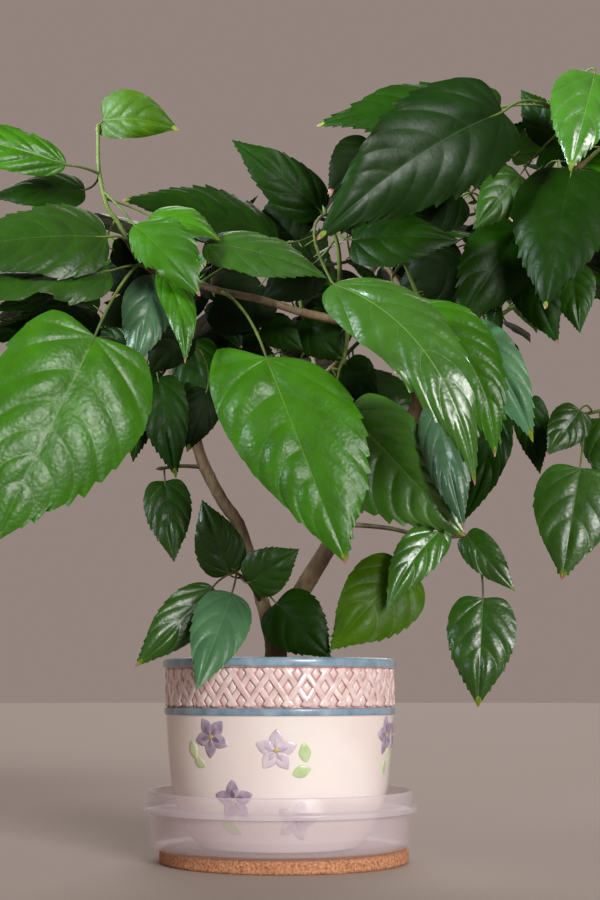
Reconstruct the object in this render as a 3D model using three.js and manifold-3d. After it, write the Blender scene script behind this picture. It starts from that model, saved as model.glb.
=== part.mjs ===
// Hibiscus shrub in its glazed pot, standing in a clear plastic saucer tub on a round cork mat.
// Millimetres, +Z up, origin on the pot's axis at the underside of the mat.

import * as THREE from 'three';
import { mergeVertices } from 'three/addons/utils/BufferGeometryUtils.js';
import Module from 'manifold-3d';

const wasm = await Module();
wasm.setup();

// pot, tub, mat and soil: real sizes
const clear = 0.3;
const roundness = 32;
const corkMat = { radius: 84, thick: 8.5, edge: 1.2, offset: 3 };
const saucer = {
  floor: 1.6, wall: 1.5, footRadius: 82, wallRadius: 87.5, lipRadius: 93, lipLow: 25, lipHigh: 29.5,
  rimRadius: 89.7, height: 38.5, round: 5,
};
const pot = {
  height: 124, footRadius: 54, bellyRadius: 73, shoulderRadius: 77.4, bandRadius: 78, rimRadius: 80,
  bellyHeight: 38, shoulderHeight: 86.4, lowerRing: 87.3, lowerRingTop: 91.2, bandTop: 118.3,
  wall: 4.5, base: 6,
};
const soil = { below: 14.5, flat: 16, crown: 2.5 };

// the standpoint that leaves and limbs are placed from: a sight line across and down, then mm in front
// of the upright plane through the trunk
const standpoint = {
  eye: new THREE.Vector3(13.7, -1075, 114.6), pitch: 8.75, reach: 1552, across: 300, down: 450,
};

// leaf form shared by every leaf
const blade = {
  widest: 0.6, full: 0.7, taper: 0.3, lobe: 0.07, fold: 0.12, curl: 0.24, thick: 0.015, long: 112,
};
const stalk = { radius: 1.0, sides: 3, sunk: 0.12, bow: 0.42, rise: 0.08, behind: 0.35, over: 6, step: 5 };
const sheet = { shares: [0.04, 0.18, 0.32, 0.46, 0.6, 0.74, 0.88, 0.98], places: [-1, -0.5, 0, 0.5, 1] };
const bladeRows = { long: [0.09, 0.27, 0.46, 0.66, 0.85], short: [0.1, 0.32, 0.58, 0.82] };
const rodStep = { path: 5, stem: 15 };

// room kept round leaves, stalks and stems when they are set out
const keep = {
  sameMass: 1.6, otherMass: 3.2, rod: 1.2, ownRod: 0.6, stalkLess: 0.8, edge: 1.5, end: 0.02,
  near: 0.6, farther: 10,
};
const shifts = [0, 4, -4, 8, -8, 13, -13, 19, -19, 26, -26];
const growth = {
  attempts: 16, turn: 137.5, retryTurn: 53, retryRank: 0.37, shrink: 0.035, spread: 0.82, golden: 0.618,
  stalk: [24, 46], wide: [0.52, 0.62], bend: [0.4, 0.8], forward: 0.5, away: 0.6, lift: 0.2,
  droop: [0.35, 1.1], outward: 0.3, look: [0.5, 0.9],
  tones: ['deep', 'mid', 'mid', 'glossy', 'grey', 'bright'],
};

const degrees = Math.PI / 180;
const upward = new THREE.Vector3(0, 0, 1);

function sightAxes() {
  const pitch = standpoint.pitch * degrees;
  return {
    ahead: new THREE.Vector3(0, Math.cos(pitch), Math.sin(pitch)),
    up: new THREE.Vector3(0, -Math.sin(pitch), Math.cos(pitch)),
  };
}

// the point seen at a place in the view, so many mm in front of the trunk's plane
function seen([across, down, out]) {
  const { ahead, up } = sightAxes();
  const ray = ahead.multiplyScalar(standpoint.reach)
    .addScaledVector(up, standpoint.down - down);
  ray.x += across - standpoint.across;
  return ray.multiplyScalar((-out - standpoint.eye.y) / ray.y).add(standpoint.eye);
}

// where a point shows in the view
function shown(point) {
  const { ahead, up } = sightAxes();
  const ray = point.clone().sub(standpoint.eye);
  const scale = standpoint.reach / ray.dot(ahead);
  return [standpoint.across + ray.x * scale, standpoint.down - ray.dot(up) * scale];
}

// a seeded run of even numbers between two bounds
function dice(seed) {
  let state = seed;
  return (low, high) => {
    state = (state * 1664525 + 1013904223) % 4294967296;
    return low + ((high - low) * state) / 4294967296;
  };
}

// height on a line of [across, down] corners
function lineAt(corners, across) {
  let last = corners[0];
  for (const next of corners) {
    if (across <= next[0]) {
      const share = next[0] === last[0] ? 0 : (across - last[0]) / (next[0] - last[0]);
      return last[1] + (next[1] - last[1]) * Math.max(share, 0);
    }
    last = next;
  }
  return last[1];
}

// the crown's outline and the openings through it, as sighted
const crown = {
  centre: new THREE.Vector3(25, 15, 370),
  top: [[-120, 150], [-60, 108], [0, 180], [70, 205], [130, 208], [178, 190], [238, 206], [262, 180],
    [300, 178], [335, 186], [350, 160], [370, 115], [445, 92], [500, 115], [545, 112], [575, 70],
    [640, 55], [700, 100], [760, 200]],
  low: [[-120, 430], [0, 470], [120, 425], [175, 420], [215, 388], [270, 375], [345, 420], [430, 455],
    [485, 440], [515, 385], [545, 318], [600, 300], [660, 420], [760, 380]],
  windows: [[266, 308, 9, 15], [288, 305, 6, 14], [440, 270, 10, 11], [472, 206, 9, 11], [142, 253, 9, 10],
    [487, 283, 16, 30], [362, 347, 13, 14]],
  left: -240,
  right: 290,
  back: 150,
  inView: [-5, 605],
  frontInView: 22,
  frontBeside: 120,
};

const limbs = {
  trunk: {
    points: [[274.5, 689, 0], [275, 674, 0], [276, 652, 0], [275, 630, 2]],
    radii: [11.5, 8.6, 7.4, 7.5],
    sides: 12,
  },
  left_stem: {
    points: [[272, 640, 1], [262, 600, 2], [241, 530, 3], [222, 500, 4], [203, 463, 8], [192, 425, 14],
      [172, 370, 22]],
    radii: [5.4, 4.8, 4.4, 4.3, 4.2, 3.8, 3.3],
    sides: 9,
  },
  right_bough: {
    points: [[277, 640, 1], [288, 614, 2], [327, 550, 4], [366, 490, 6], [410, 420, 8], [462, 334, 12],
      [488, 300, 14]],
    radii: [6.4, 6.2, 5.7, 5.4, 5.0, 4.4, 4.0],
    sides: 10,
  },
  upper_bough: {
    points: [[488, 300, 14], [510, 264, 20], [526, 250, 26], [556, 200, 45]],
    radii: [3.9, 3.6, 3.3, 2.8],
    sides: 8,
  },
  front_bough: {
    points: [[418, 405, 8], [405, 352, 26], [376, 332, 44], [343, 322, 62], [300, 312, 82]],
    radii: [3.4, 3.2, 3.1, 3.0, 2.8],
    sides: 8,
  },
};

// each mass of leaves: its stems, the leaves that are set one by one, and the numbers for those that grow
const masses = {
  leaves_front_left: {
    stems: [
      { points: [[300, 312, 82], [262, 300, 95], [220, 291, 110], [182, 279, 120], [155, 273, 130],
        [134, 252, 133], [118, 222, 135], [107, 206, 137], [99, 170, 139], [98, 132, 140]],
        radii: [2.8, 1.1] },
    ],
    leaves: [
      { foot: [95, 336, 175], tip: [-6, 542, 200], wide: 95, turn: 0, bend: 0.35, skew: -0.06,
        tone: 'bright' },
      { foot: [266, 357, 150], tip: [347, 564, 175], wide: 81, turn: 0, bend: 0.35, tone: 'bright' },
      { foot: [66, 165, 150], tip: [-96, 130, 165], wide: 36, turn: 30, bend: 0.6, tone: 'bright' },
      { foot: [103, 121, 140], tip: [179, 130, 146], wide: 32, turn: -12, bend: 0.8, sway: -0.05, skew: -0.2,
        tone: 'young' },
      { foot: [107, 237, 150], tip: [-60, 255, 165], wide: 64, turn: 45, bend: 0.5, tone: 'mid' },
      { foot: [110, 271, 155], tip: [-40, 300, 172], wide: 52, turn: 55, bend: 0.5, tone: 'mid' },
      { foot: [85, 190, 124], tip: [-10, 198, 130], wide: 40, turn: 55, bend: 0.5, tone: 'deep' },
      { foot: [134, 225, 145], tip: [200, 296, 162], wide: 44, turn: -15, bend: 0.9, skew: -0.2,
        tone: 'bright' },
      { foot: [150, 216, 128], tip: [220, 240, 136], wide: 34, turn: -50, bend: 0.8, tone: 'bright' },
      { foot: [205, 243, 130], tip: [327, 278, 150], wide: 42, turn: -45, bend: 0.5, tone: 'bright' },
      { foot: [162, 272, 145], tip: [185, 363, 162], wide: 22, turn: -10, bend: 0.6, sway: -0.07,
        tone: 'bright' },
      { foot: [157, 275, 136], tip: [134, 370, 146], wide: 34, turn: 10, bend: 0.5, tone: 'grey' },
    ],
    grow: { count: 6, seed: 11, long: [60, 100] },
  },
  leaves_front_middle: {
    stems: [
      { points: [[343, 322, 62], [340, 290, 76], [338, 247, 92], [326, 214, 98]], radii: [2.2, 1.1] },
    ],
    leaves: [
      { foot: [333, 284, 165], tip: [475, 485, 195], wide: 50, turn: -15, bend: 0.9, sway: -0.11,
        tone: 'bright' },
      { foot: [352, 240, 112], tip: [460, 241, 122], wide: 44, turn: -35, bend: 0.5, tone: 'deep' },
    ],
    grow: { count: 5, seed: 12, long: [60, 90] },
  },
  leaves_under_bough: {
    stems: [
      { points: [[348, 323, 61], [347, 340, 72], [344, 358, 84]], radii: [2.0, 1.1] },
    ],
    leaves: [
      { foot: [348, 411, 105], tip: [465, 536, 130], wide: 68, turn: 0, bend: 0.5, skew: 0.2,
        tone: 'glossy' },
    ],
  },
  leaves_front_right: {
    stems: [
      { points: [[450, 355, 11], [436, 330, 42], [418, 296, 74], [404, 262, 86]], radii: [2.4, 1.1] },
      { points: [[436, 330, 42], [468, 348, 42], [498, 376, 48]], radii: [1.8, 1.0] },
    ],
    leaves: [
      { foot: [398, 306, 112], tip: [495, 457, 134], wide: 52, turn: -15, bend: 0.9, sway: -0.13,
        tone: 'bright' },
      { foot: [464, 328, 74], tip: [533, 442, 86], wide: 37, turn: -10, bend: 0.8, sway: -0.05,
        tone: 'grey' },
      { foot: [438, 405, 118], tip: [464, 529, 134], wide: 31, turn: 10, bend: 0.6, tone: 'grey' },
      { foot: [490, 404, 56], tip: [463, 522, 52], wide: 31, turn: 20, bend: 0.5, sway: -0.1, tone: 'deep' },
      { foot: [488, 338, 34], tip: [498, 296, 38], wide: 16, turn: 0, bend: 0.4, tone: 'mid' },
    ],
    grow: { count: 3, seed: 13, long: [50, 80] },
  },
  leaves_top_right: {
    stems: [
      { points: [[556, 200, 45], [574, 172, 66], [578, 145, 84], [566, 128, 98], [552, 108, 104]],
        radii: [2.7, 1.1] },
      { points: [[574, 172, 66], [612, 140, 74], [650, 120, 70]], radii: [1.9, 1.0] },
      { points: [[570, 180, 62], [580, 208, 66], [566, 240, 62]], radii: [1.7, 1.0] },
    ],
    leaves: [
      { foot: [503, 112, 130], tip: [317, 240, 160], wide: 72, turn: 0, bend: 0.5, sway: 0.05,
        tone: 'glossy' },
      { foot: [500, 108, 112], tip: [316, 126, 104], wide: 56, turn: 50, bend: 0.6, tone: 'deep' },
      { foot: [595, 74, 124], tip: [570, 171, 140], wide: 45, turn: 0, bend: 0.6, skew: 0.08,
        tone: 'bright' },
      { foot: [572, 170, 112], tip: [545, 309, 126], wide: 66, turn: 10, bend: 0.5, tone: 'deep' },
      { foot: [556, 140, 78], tip: [521, 90, 72], wide: 27, turn: 0, bend: 0.4, tone: 'deep' },
      { foot: [520, 175, 95], tip: [473, 229, 104], wide: 32, turn: 0, bend: 0.5, tone: 'mid' },
      { foot: [520, 228, 84], tip: [456, 327, 90], wide: 50, turn: 0, bend: 0.4, tone: 'deep' },
      { foot: [522, 262, 58], tip: [558, 344, 66], wide: 34, turn: 0, bend: 0.5, tone: 'deep' },
      { foot: [572, 268, 50], tip: [580, 333, 58], wide: 30, turn: 10, bend: 0.5, tone: 'mid' },
    ],
    grow: { count: 8, seed: 14, long: [60, 98] },
  },
  leaves_low_right: {
    stems: [
      { points: [[412, 418, 8], [470, 424, 22], [534, 417, 36], [552, 421, 40], [590, 413, 48],
        [640, 402, 50]],
        radii: [2.2, 1.0] },
    ],
    leaves: [
      { foot: [580, 410, 62], tip: [547, 455, 68], wide: 28, turn: 0, bend: 0.4, tone: 'mid' },
      { foot: [580, 468, 64], tip: [562, 580, 74], wide: 54, turn: 0, bend: 0.4, tone: 'mid' },
      { foot: [600, 418, 50], tip: [614, 492, 60], wide: 32, turn: 0, bend: 0.4, tone: 'mid' },
      { foot: [527, 398, 42], tip: [540, 474, 36], wide: 25, turn: 0, bend: 0.4, tone: 'deep' },
    ],
    grow: { count: 6, seed: 15, long: [45, 75] },
  },
  leaves_base_shoot: {
    stems: [
      { points: [[262, 604, 2], [250, 584, 18], [236, 572, 30]], radii: [1.8, 1.0] },
    ],
    leaves: [
      { foot: [229, 574, 30], tip: [202, 500, 34], wide: 34, turn: 0, bend: 0.4, tone: 'mid' },
      { foot: [249, 583, 28], tip: [299, 549, 36], wide: 33, turn: 0, bend: 0.4, tone: 'mid' },
      { foot: [213, 587, 40], tip: [135, 667, 56], wide: 35, turn: 0, bend: 0.4, tone: 'mid' },
      { foot: [232, 593, 56], tip: [196, 691, 92], wide: 38, turn: 0, bend: 0.5, tone: 'grey' },
      { foot: [276, 603, 30], tip: [331, 658, 44], wide: 43, turn: 0, bend: 0.5, tone: 'deep' },
    ],
  },
  leaves_low_shoot: {
    stems: [
      { points: [[345, 524, 5], [388, 528, 20], [430, 537, 34], [470, 536, 40]], radii: [1.9, 1.0] },
    ],
    leaves: [
      { foot: [404, 566, 32], tip: [330, 650, 46], wide: 54, turn: 0, bend: 0.5, skew: -0.1, tone: 'ripe' },
      { foot: [441, 530, 44], tip: [387, 609, 58], wide: 30, turn: 0, bend: 0.4, sway: 0.06, tone: 'glossy' },
      { foot: [466, 535, 42], tip: [515, 591, 52], wide: 24, turn: 0, bend: 0.4, tone: 'mid' },
      { foot: [483, 598, 48], tip: [478, 707, 58], wide: 46, turn: 0, bend: 0.4, tone: 'mid' },
    ],
  },
  leaves_left_twig: {
    stems: [
      { points: [[203, 467, 8], [182, 466, 14], [164, 468, 18]], radii: [1.6, 1.1] },
    ],
    leaves: [
      { foot: [165, 481, 22], tip: [174, 562, 30], wide: 33, turn: 0, bend: 0.4, tone: 'mid' },
    ],
  },
  leaves_left_crown: {
    stems: [
      { points: [[172, 370, 22], [152, 318, 34], [120, 250, 46], [84, 215, 50]], radii: [3.2, 1.2] },
      { points: [[152, 318, 34], [190, 290, 40], [232, 262, 36]], radii: [1.9, 1.0] },
    ],
    leaves: [
      { foot: [158, 378, 44], tip: [176, 478, 50], wide: 34, turn: 0, bend: 0.5, tone: 'deep' },
      { foot: [146, 370, 30], tip: [133, 462, 36], wide: 32, turn: 0, bend: 0.5, tone: 'deep' },
      { foot: [192, 342, 30], tip: [213, 429, 34], wide: 36, turn: 0, bend: 0.5, tone: 'deep' },
      { foot: [216, 300, 60], tip: [242, 348, 64], wide: 24, turn: 0, bend: 0.4, tone: 'deep' },
    ],
    grow: { count: 14, seed: 16, long: [60, 100] },
  },
  leaves_top_middle: {
    stems: [
      { points: [[448, 360, 11], [410, 300, 16], [372, 250, 24], [330, 222, 36], [292, 214, 44]],
        radii: [2.8, 1.1] },
    ],
    leaves: [
      { foot: [278, 243, 66], tip: [122, 200, 88], wide: 60, turn: 50, bend: 0.5, sway: 0.05, tone: 'deep' },
      { foot: [322, 212, 56], tip: [232, 140, 66], wide: 38, turn: 20, bend: 0.4, tone: 'deep' },
      { foot: [266, 322, 58], tip: [303, 350, 62], wide: 24, turn: 0, bend: 0.4, tone: 'deep' },
      { foot: [302, 318, 48], tip: [346, 362, 54], wide: 34, turn: 0, bend: 0.4, tone: 'deep' },
      { foot: [345, 364, 38], tip: [378, 396, 44], wide: 28, turn: 0, bend: 0.4, tone: 'deep' },
    ],
    grow: { count: 9, seed: 17, long: [64, 98] },
  },
  leaves_left_back: {
    stems: [
      { points: [[196, 440, 10], [150, 395, -26], [110, 340, -62], [70, 285, -92]], radii: [2.8, 1.1] },
      { points: [[150, 395, -26], [180, 330, -50], [205, 270, -72]], radii: [1.9, 1.0] },
    ],
    grow: { count: 14, seed: 18, long: [75, 112] },
  },
  leaves_middle_back: {
    stems: [
      { points: [[340, 530, 4], [330, 450, -34], [318, 380, -66], [300, 300, -92], [290, 240, -112]],
        radii: [3.2, 1.1] },
      { points: [[318, 380, -66], [370, 330, -90], [405, 280, -112]], radii: [1.9, 1.0] },
    ],
    grow: { count: 15, seed: 19, long: [75, 112] },
  },
  leaves_right_back: {
    stems: [
      { points: [[432, 384, 9], [470, 340, -30], [510, 290, -66], [545, 240, -96]], radii: [2.8, 1.1] },
      { points: [[470, 340, -30], [522, 302, -46], [586, 286, -44], [650, 300, -26]], radii: [1.9, 1.0] },
    ],
    grow: { count: 16, seed: 20, long: [72, 108] },
  },
  leaves_top_back: {
    stems: [
      { points: [[530, 244, 28], [500, 206, -10], [462, 174, -42], [424, 152, -70]], radii: [2.4, 1.1] },
      { points: [[500, 206, -10], [560, 170, -40], [610, 150, -60]], radii: [1.8, 1.0] },
    ],
    grow: { count: 14, seed: 21, long: [65, 104] },
  },
};

const tones = {
  bright: 0x4b8c23, young: 0x6ea00a, ripe: 0x457a14, mid: 0x2f5c1a, deep: 0x193214, grey: 0x4c6b4a,
  glossy: 0x2c5a2c,
};

// smooth line through points, and even steps along it
function smooth(points) {
  return new THREE.CatmullRomCurve3(points, false, 'catmullrom', 0.5);
}

function evenSteps(line, step) {
  return line.getPoints(Math.max(2, Math.ceil(line.getLength() / step)));
}

// half the leaf's width at a share of its length
function halfWidth(leaf, share) {
  const s = Math.min(Math.max(share, 0), 1);
  return (leaf.wide / 2) * Math.sin(Math.PI * s ** blade.widest) ** blade.full * (1 - blade.taper * s ** 3);
}

// height of the arched, folded sheet over the line from foot to tip
function sheetHeight(leaf, share, half, side) {
  const arch = leaf.radius * (Math.cos(leaf.bend * (share - 0.5)) - Math.cos(leaf.bend / 2));
  return arch + half * (blade.fold * Math.abs(side) - blade.curl * side * side);
}

// how far the midrib swings sideways
function swing(leaf, share) {
  return leaf.sway * leaf.length * 4 * share * (1 - share);
}

function leafPoint(leaf, share, side, lift = 0) {
  const half = halfWidth(leaf, share);
  const run = leaf.radius * (Math.sin(leaf.bend * (share - 0.5)) + Math.sin(leaf.bend / 2))
    - blade.lobe * leaf.length * side * side * (1 - share) ** 6;
  return leaf.foot.clone()
    .addScaledVector(leaf.along, run)
    .addScaledVector(leaf.side, half * side * (1 + leaf.skew * Math.sign(side)) + swing(leaf, share))
    .addScaledVector(leaf.face, sheetHeight(leaf, share, half, side) + lift);
}

// a leaf from its foot and tip, the way its face looks, its width and its arch
function makeLeaf(foot, tip, look, { wide, bend, tone, sway = 0, skew = 0 }) {
  const along = tip.clone().sub(foot);
  const length = along.length();
  along.divideScalar(length);
  const face = look.clone().addScaledVector(along, -look.dot(along)).normalize();
  const side = along.clone().cross(face);
  const radius = length / (2 * Math.sin(bend / 2));
  const leaf = { foot, tip, along, face, side, length, radius, wide, bend, tone, sway, skew };
  leaf.middle = foot.clone().addScaledVector(along, length / 2);
  leaf.grid = sheet.shares.map((share) => sheet.places.map((place) => leafPoint(leaf, share, place)));
  return leaf;
}

// a leaf that is set by sight, moved so many mm nearer or farther
function setLeaf(wish, shift) {
  const foot = seen([wish.foot[0], wish.foot[1], wish.foot[2] + shift]);
  const tip = seen([wish.tip[0], wish.tip[1], wish.tip[2] + shift]);
  const along = tip.clone().sub(foot).normalize();
  const look = standpoint.eye.clone().sub(foot).normalize();
  look.addScaledVector(along, -look.dot(along)).normalize().applyAxisAngle(along, wish.turn * degrees);
  return makeLeaf(foot, tip, look, wish);
}

// how far a point lies over a leaf's sheet, and whether it is within its outline
function over(leaf, point) {
  const from = point.clone().sub(leaf.foot);
  const share = from.dot(leaf.along) / leaf.length;
  const across = from.dot(leaf.side) - swing(leaf, Math.min(Math.max(share, 0), 1));
  const half = halfWidth(leaf, share) * (1 + leaf.skew * Math.sign(across));
  const side = Math.min(Math.max(across / Math.max(half, 1e-6), -1), 1);
  const within = share > -keep.end && share < 1 + keep.end && Math.abs(across) < half + keep.edge;
  const level = sheetHeight(leaf, Math.min(Math.max(share, 0), 1), half, side);
  return { height: from.dot(leaf.face) - level, within };
}

// whether an edge between two points passes through a leaf
function crosses(leaf, start, end, startOver, endOver) {
  if (startOver.height * endOver.height >= 0) {
    return false;
  }
  const share = startOver.height / (startOver.height - endOver.height);
  return over(leaf, start.clone().lerp(end, share)).within;
}

function gridMeets(leaf, grid, gap) {
  const heights = grid.map((row) => row.map((point) => over(leaf, point)));
  for (let i = 0; i < grid.length; i += 1) {
    for (let j = 0; j < grid[i].length; j += 1) {
      const here = heights[i][j];
      if (here.within && Math.abs(here.height) < gap) {
        return true;
      }
      if (i > 0 && crosses(leaf, grid[i - 1][j], grid[i][j], heights[i - 1][j], here)) {
        return true;
      }
      if (j > 0 && crosses(leaf, grid[i][j - 1], grid[i][j], heights[i][j - 1], here)) {
        return true;
      }
    }
  }
  return false;
}

function leavesMeet(first, second, gap) {
  if (first.middle.distanceTo(second.middle) > (first.length + second.length) * keep.near + keep.farther) {
    return false;
  }
  return gridMeets(first, second.grid, gap) || gridMeets(second, first.grid, gap);
}

function rodMeetsLeaf(rod, leaf, gap) {
  return rod.path.some((point) => {
    const place = over(leaf, point);
    return place.within && Math.abs(place.height) < rod.radius + gap;
  });
}

function rodsMeet(first, second, gap) {
  const room = first.radius + second.radius + gap;
  return first.path.some((point) => second.path.some((other) => point.distanceTo(other) < room));
}

// the leaf stalk: from the nearest fit place on the mass's stems, in a bow, to the foot and under the midrib
function makeStalk(leaf, stems) {
  const wished = leaf.foot.clone().addScaledVector(leaf.along, -stalk.behind * leaf.length)
    .addScaledVector(upward, stalk.over);
  let node = stems[0].path[0];
  for (const stem of stems) {
    for (const point of stem.path.slice(stem.bare)) {
      if (point.distanceTo(wished) < node.distanceTo(wished)) {
        node = point;
      }
    }
  }
  const reach = node.distanceTo(leaf.foot);
  const turn = leaf.foot.clone().addScaledVector(leaf.along, -stalk.bow * reach)
    .addScaledVector(upward, stalk.rise * reach);
  const bow = new THREE.QuadraticBezierCurve3(node, turn, leaf.foot);
  return { path: bow.getPoints(Math.max(4, Math.ceil(reach / stalk.step))), radius: stalk.radius };
}

// whether a leaf and its stalk are clear of everything placed so far
function isClear(leaf, stalkRod, name, placed) {
  const freeStalk = { path: stalkRod.path.slice(1, -1), radius: stalkRod.radius };
  for (const other of placed.leaves) {
    const gap = other.mass === name ? keep.sameMass : keep.otherMass;
    if (leavesMeet(leaf, other.leaf, gap) || rodMeetsLeaf(freeStalk, other.leaf, gap - keep.stalkLess)) {
      return false;
    }
  }
  for (const rod of placed.rods) {
    const own = rod.mass === name;
    if (rodMeetsLeaf(rod, leaf, own ? keep.ownRod : keep.rod)) {
      return false;
    }
    if (!own && rodsMeet(rod, freeStalk, keep.rod)) {
      return false;
    }
  }
  return true;
}

// whether a grown leaf keeps inside the crown's outline, open where the crown is open
function isWithin(leaf) {
  return leaf.grid.every((row) => row.every((point) => {
    const [across, down] = shown(point);
    const inView = across > crown.inView[0] && across < crown.inView[1];
    const front = inView ? crown.frontInView : crown.frontBeside;
    const open = crown.windows.some(([x, y, wide, tall]) => (
      ((across - x) / wide) ** 2 + ((down - y) / tall) ** 2 < 1));
    return !open && point.x > crown.left && point.x < crown.right && point.y < crown.back && -point.y < front
      && down > lineAt(crown.top, across) && down < lineAt(crown.low, across);
  }));
}

// the grown leaf of this number on a mass, at its try: round the stems by the golden angle
function grownLeaf(stems, grow, number, attempt) {
  const draw = dice(grow.seed * 1000 + number * 20 + attempt);
  const stem = stems[number % stems.length];
  const rank = Math.floor(number / stems.length) + attempt * growth.retryRank;
  const share = 1 - growth.spread * ((rank * growth.golden) % 1);
  const last = stem.path.length - 1;
  const place = Math.max(1, Math.round(share * last));
  const node = stem.path[place];
  const tangent = node.clone().sub(stem.path[place - 1]).normalize();
  const sideways = tangent.clone().cross(upward).normalize();
  const lifted = sideways.clone().cross(tangent);
  const angle = (number * growth.turn + attempt * growth.retryTurn) * degrees;
  const out = sideways.multiplyScalar(Math.cos(angle)).addScaledVector(lifted, Math.sin(angle));
  const away = node.clone().sub(crown.centre).normalize();
  const lean = tangent.clone().multiplyScalar(growth.forward).add(out).addScaledVector(away, growth.away)
    .addScaledVector(upward, growth.lift).normalize();
  const foot = node.clone().addScaledVector(lean, draw(...growth.stalk));
  const length = draw(...grow.long) * (1 - growth.shrink * attempt);
  const along = lean.clone().addScaledVector(upward, -draw(...growth.droop))
    .addScaledVector(away, growth.outward).normalize();
  const look = upward.clone().multiplyScalar(draw(...growth.look))
    .addScaledVector(away, draw(...growth.look));
  const tip = foot.clone().addScaledVector(along, length);
  const tone = growth.tones[Math.floor(draw(0, growth.tones.length))];
  return makeLeaf(foot, tip, look, { wide: length * draw(...growth.wide), bend: draw(...growth.bend), tone });
}

// every stem, leaf and stalk of the plant, set leaves first
function layOut() {
  const placed = { leaves: [], rods: [] };
  for (const [name, limb] of Object.entries(limbs)) {
    const line = smooth(limb.points.map(seen));
    placed.rods.push({ mass: name, path: evenSteps(line, rodStep.path), radius: Math.max(...limb.radii) });
  }
  for (const [name, mass] of Object.entries(masses)) {
    mass.rods = mass.stems.map((stem) => {
      const path = evenSteps(smooth(stem.points.map(seen)), rodStep.path);
      return { mass: name, path, radius: stem.radii[0], bare: Math.min(3, path.length - 1) };
    });
    placed.rods.push(...mass.rods);
    mass.placed = [];
  }
  const place = (name, mass, attempts) => {
    for (const leaf of attempts) {
      const stalkRod = makeStalk(leaf, mass.rods);
      if (isClear(leaf, stalkRod, name, placed)) {
        mass.placed.push({ leaf, stalk: stalkRod });
        placed.leaves.push({ mass: name, leaf });
        placed.rods.push({ mass: name, ...stalkRod });
        return;
      }
    }
  };
  for (const [name, mass] of Object.entries(masses)) {
    for (const wish of mass.leaves ?? []) {
      place(name, mass, shifts.map((shift) => setLeaf(wish, shift)));
    }
  }
  const most = Math.max(...Object.values(masses).map((mass) => mass.grow?.count ?? 0));
  for (let number = 0; number < most; number += 1) {
    for (const [name, mass] of Object.entries(masses)) {
      if (number < (mass.grow?.count ?? 0)) {
        const attempts = [];
        for (let attempt = 0; attempt < growth.attempts; attempt += 1) {
          const leaf = grownLeaf(mass.rods, mass.grow, number, attempt);
          if (isWithin(leaf)) {
            attempts.push(leaf);
          }
        }
        place(name, mass, attempts);
      }
    }
  }
}

// triangles turned to point outwards, with no flat ones
function outward(geometry) {
  const place = geometry.getAttribute('position');
  const index = geometry.getIndex().array;
  const corner = (i) => new THREE.Vector3().fromBufferAttribute(place, i);
  let volume = 0;
  let kept = [];
  for (let i = 0; i < index.length; i += 3) {
    const [a, b, c] = [index[i], index[i + 1], index[i + 2]];
    if (a !== b && b !== c && c !== a) {
      kept.push(a, b, c);
      volume += corner(a).dot(corner(b).cross(corner(c)));
    }
  }
  if (volume < 0) {
    kept = kept.reverse();
  }
  geometry.setIndex(kept);
  return geometry;
}

function closedShape(geometry) {
  geometry.deleteAttribute('normal');
  geometry.deleteAttribute('uv');
  return outward(mergeVertices(geometry, 1e-4));
}

function turned(profile, sides) {
  const shape = new THREE.LatheGeometry(profile.map(([r, z]) => new THREE.Vector2(r, z)), sides);
  shape.rotateX(Math.PI / 2);
  return closedShape(shape);
}

// a tapering round rod bent along a smooth line, its radii spread over its length
function bentRod(points, radii, sides, steps, grow = 0) {
  const line = smooth(points);
  const length = line.getLength();
  const radiusAt = (share) => {
    const place = share * (radii.length - 1);
    const low = Math.min(Math.floor(place), radii.length - 2);
    return radii[low] + (radii[low + 1] - radii[low]) * (place - low) + grow;
  };
  const profile = [new THREE.Vector2(0, 0)];
  for (let i = 0; i <= steps; i += 1) {
    profile.push(new THREE.Vector2(radiusAt(i / steps), (length * i) / steps));
  }
  profile.push(new THREE.Vector2(0, length));
  const shape = closedShape(new THREE.LatheGeometry(profile, sides));
  const frames = line.computeFrenetFrames(steps);
  const place = shape.getAttribute('position');
  for (let i = 0; i < place.count; i += 1) {
    const step = Math.round((place.getY(i) / length) * steps);
    const bent = line.getPointAt(step / steps)
      .addScaledVector(frames.normals[step], place.getX(i))
      .addScaledVector(frames.binormals[step], place.getZ(i));
    place.setXYZ(i, bent.x, bent.y, bent.z);
  }
  return outward(shape);
}

// a thin closed blade: thick along its midrib, sharp at its edge
function leafShape(leaf) {
  const shares = leaf.length > blade.long ? bladeRows.long : bladeRows.short;
  const half = (blade.thick * leaf.length) / 2 + 0.25;
  const corners = [leaf.foot, ...shares.flatMap((share) => [
    leafPoint(leaf, share, -1), leafPoint(leaf, share, 1), leafPoint(leaf, share, 0, half),
    leafPoint(leaf, share, 0, -half)]), leaf.tip];
  const tip = corners.length - 1;
  const faces = [];
  for (const middle of [2, 3]) {
    const rows = shares.map((_, row) => [1 + row * 4, row * 4 + 1 + middle, 2 + row * 4]);
    const ends = [[0, ...rows[0]], [tip, ...[...rows[rows.length - 1]].reverse()]];
    const skin = [];
    for (const [end, left, mid, right] of ends) {
      skin.push([end, mid, left], [end, right, mid]);
    }
    for (let row = 1; row < rows.length; row += 1) {
      for (const [a, b] of [[0, 1], [1, 2]]) {
        const [low, high] = [rows[row - 1], rows[row]];
        skin.push([low[a], low[b], high[b]], [low[a], high[b], high[a]]);
      }
    }
    faces.push(...(middle === 2 ? skin : skin.map((face) => [...face].reverse())));
  }
  const shape = new THREE.BufferGeometry();
  shape.setAttribute('position', new THREE.Float32BufferAttribute(corners.flatMap((c) => c.toArray()), 3));
  shape.setIndex(faces.flat());
  return outward(shape);
}

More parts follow.
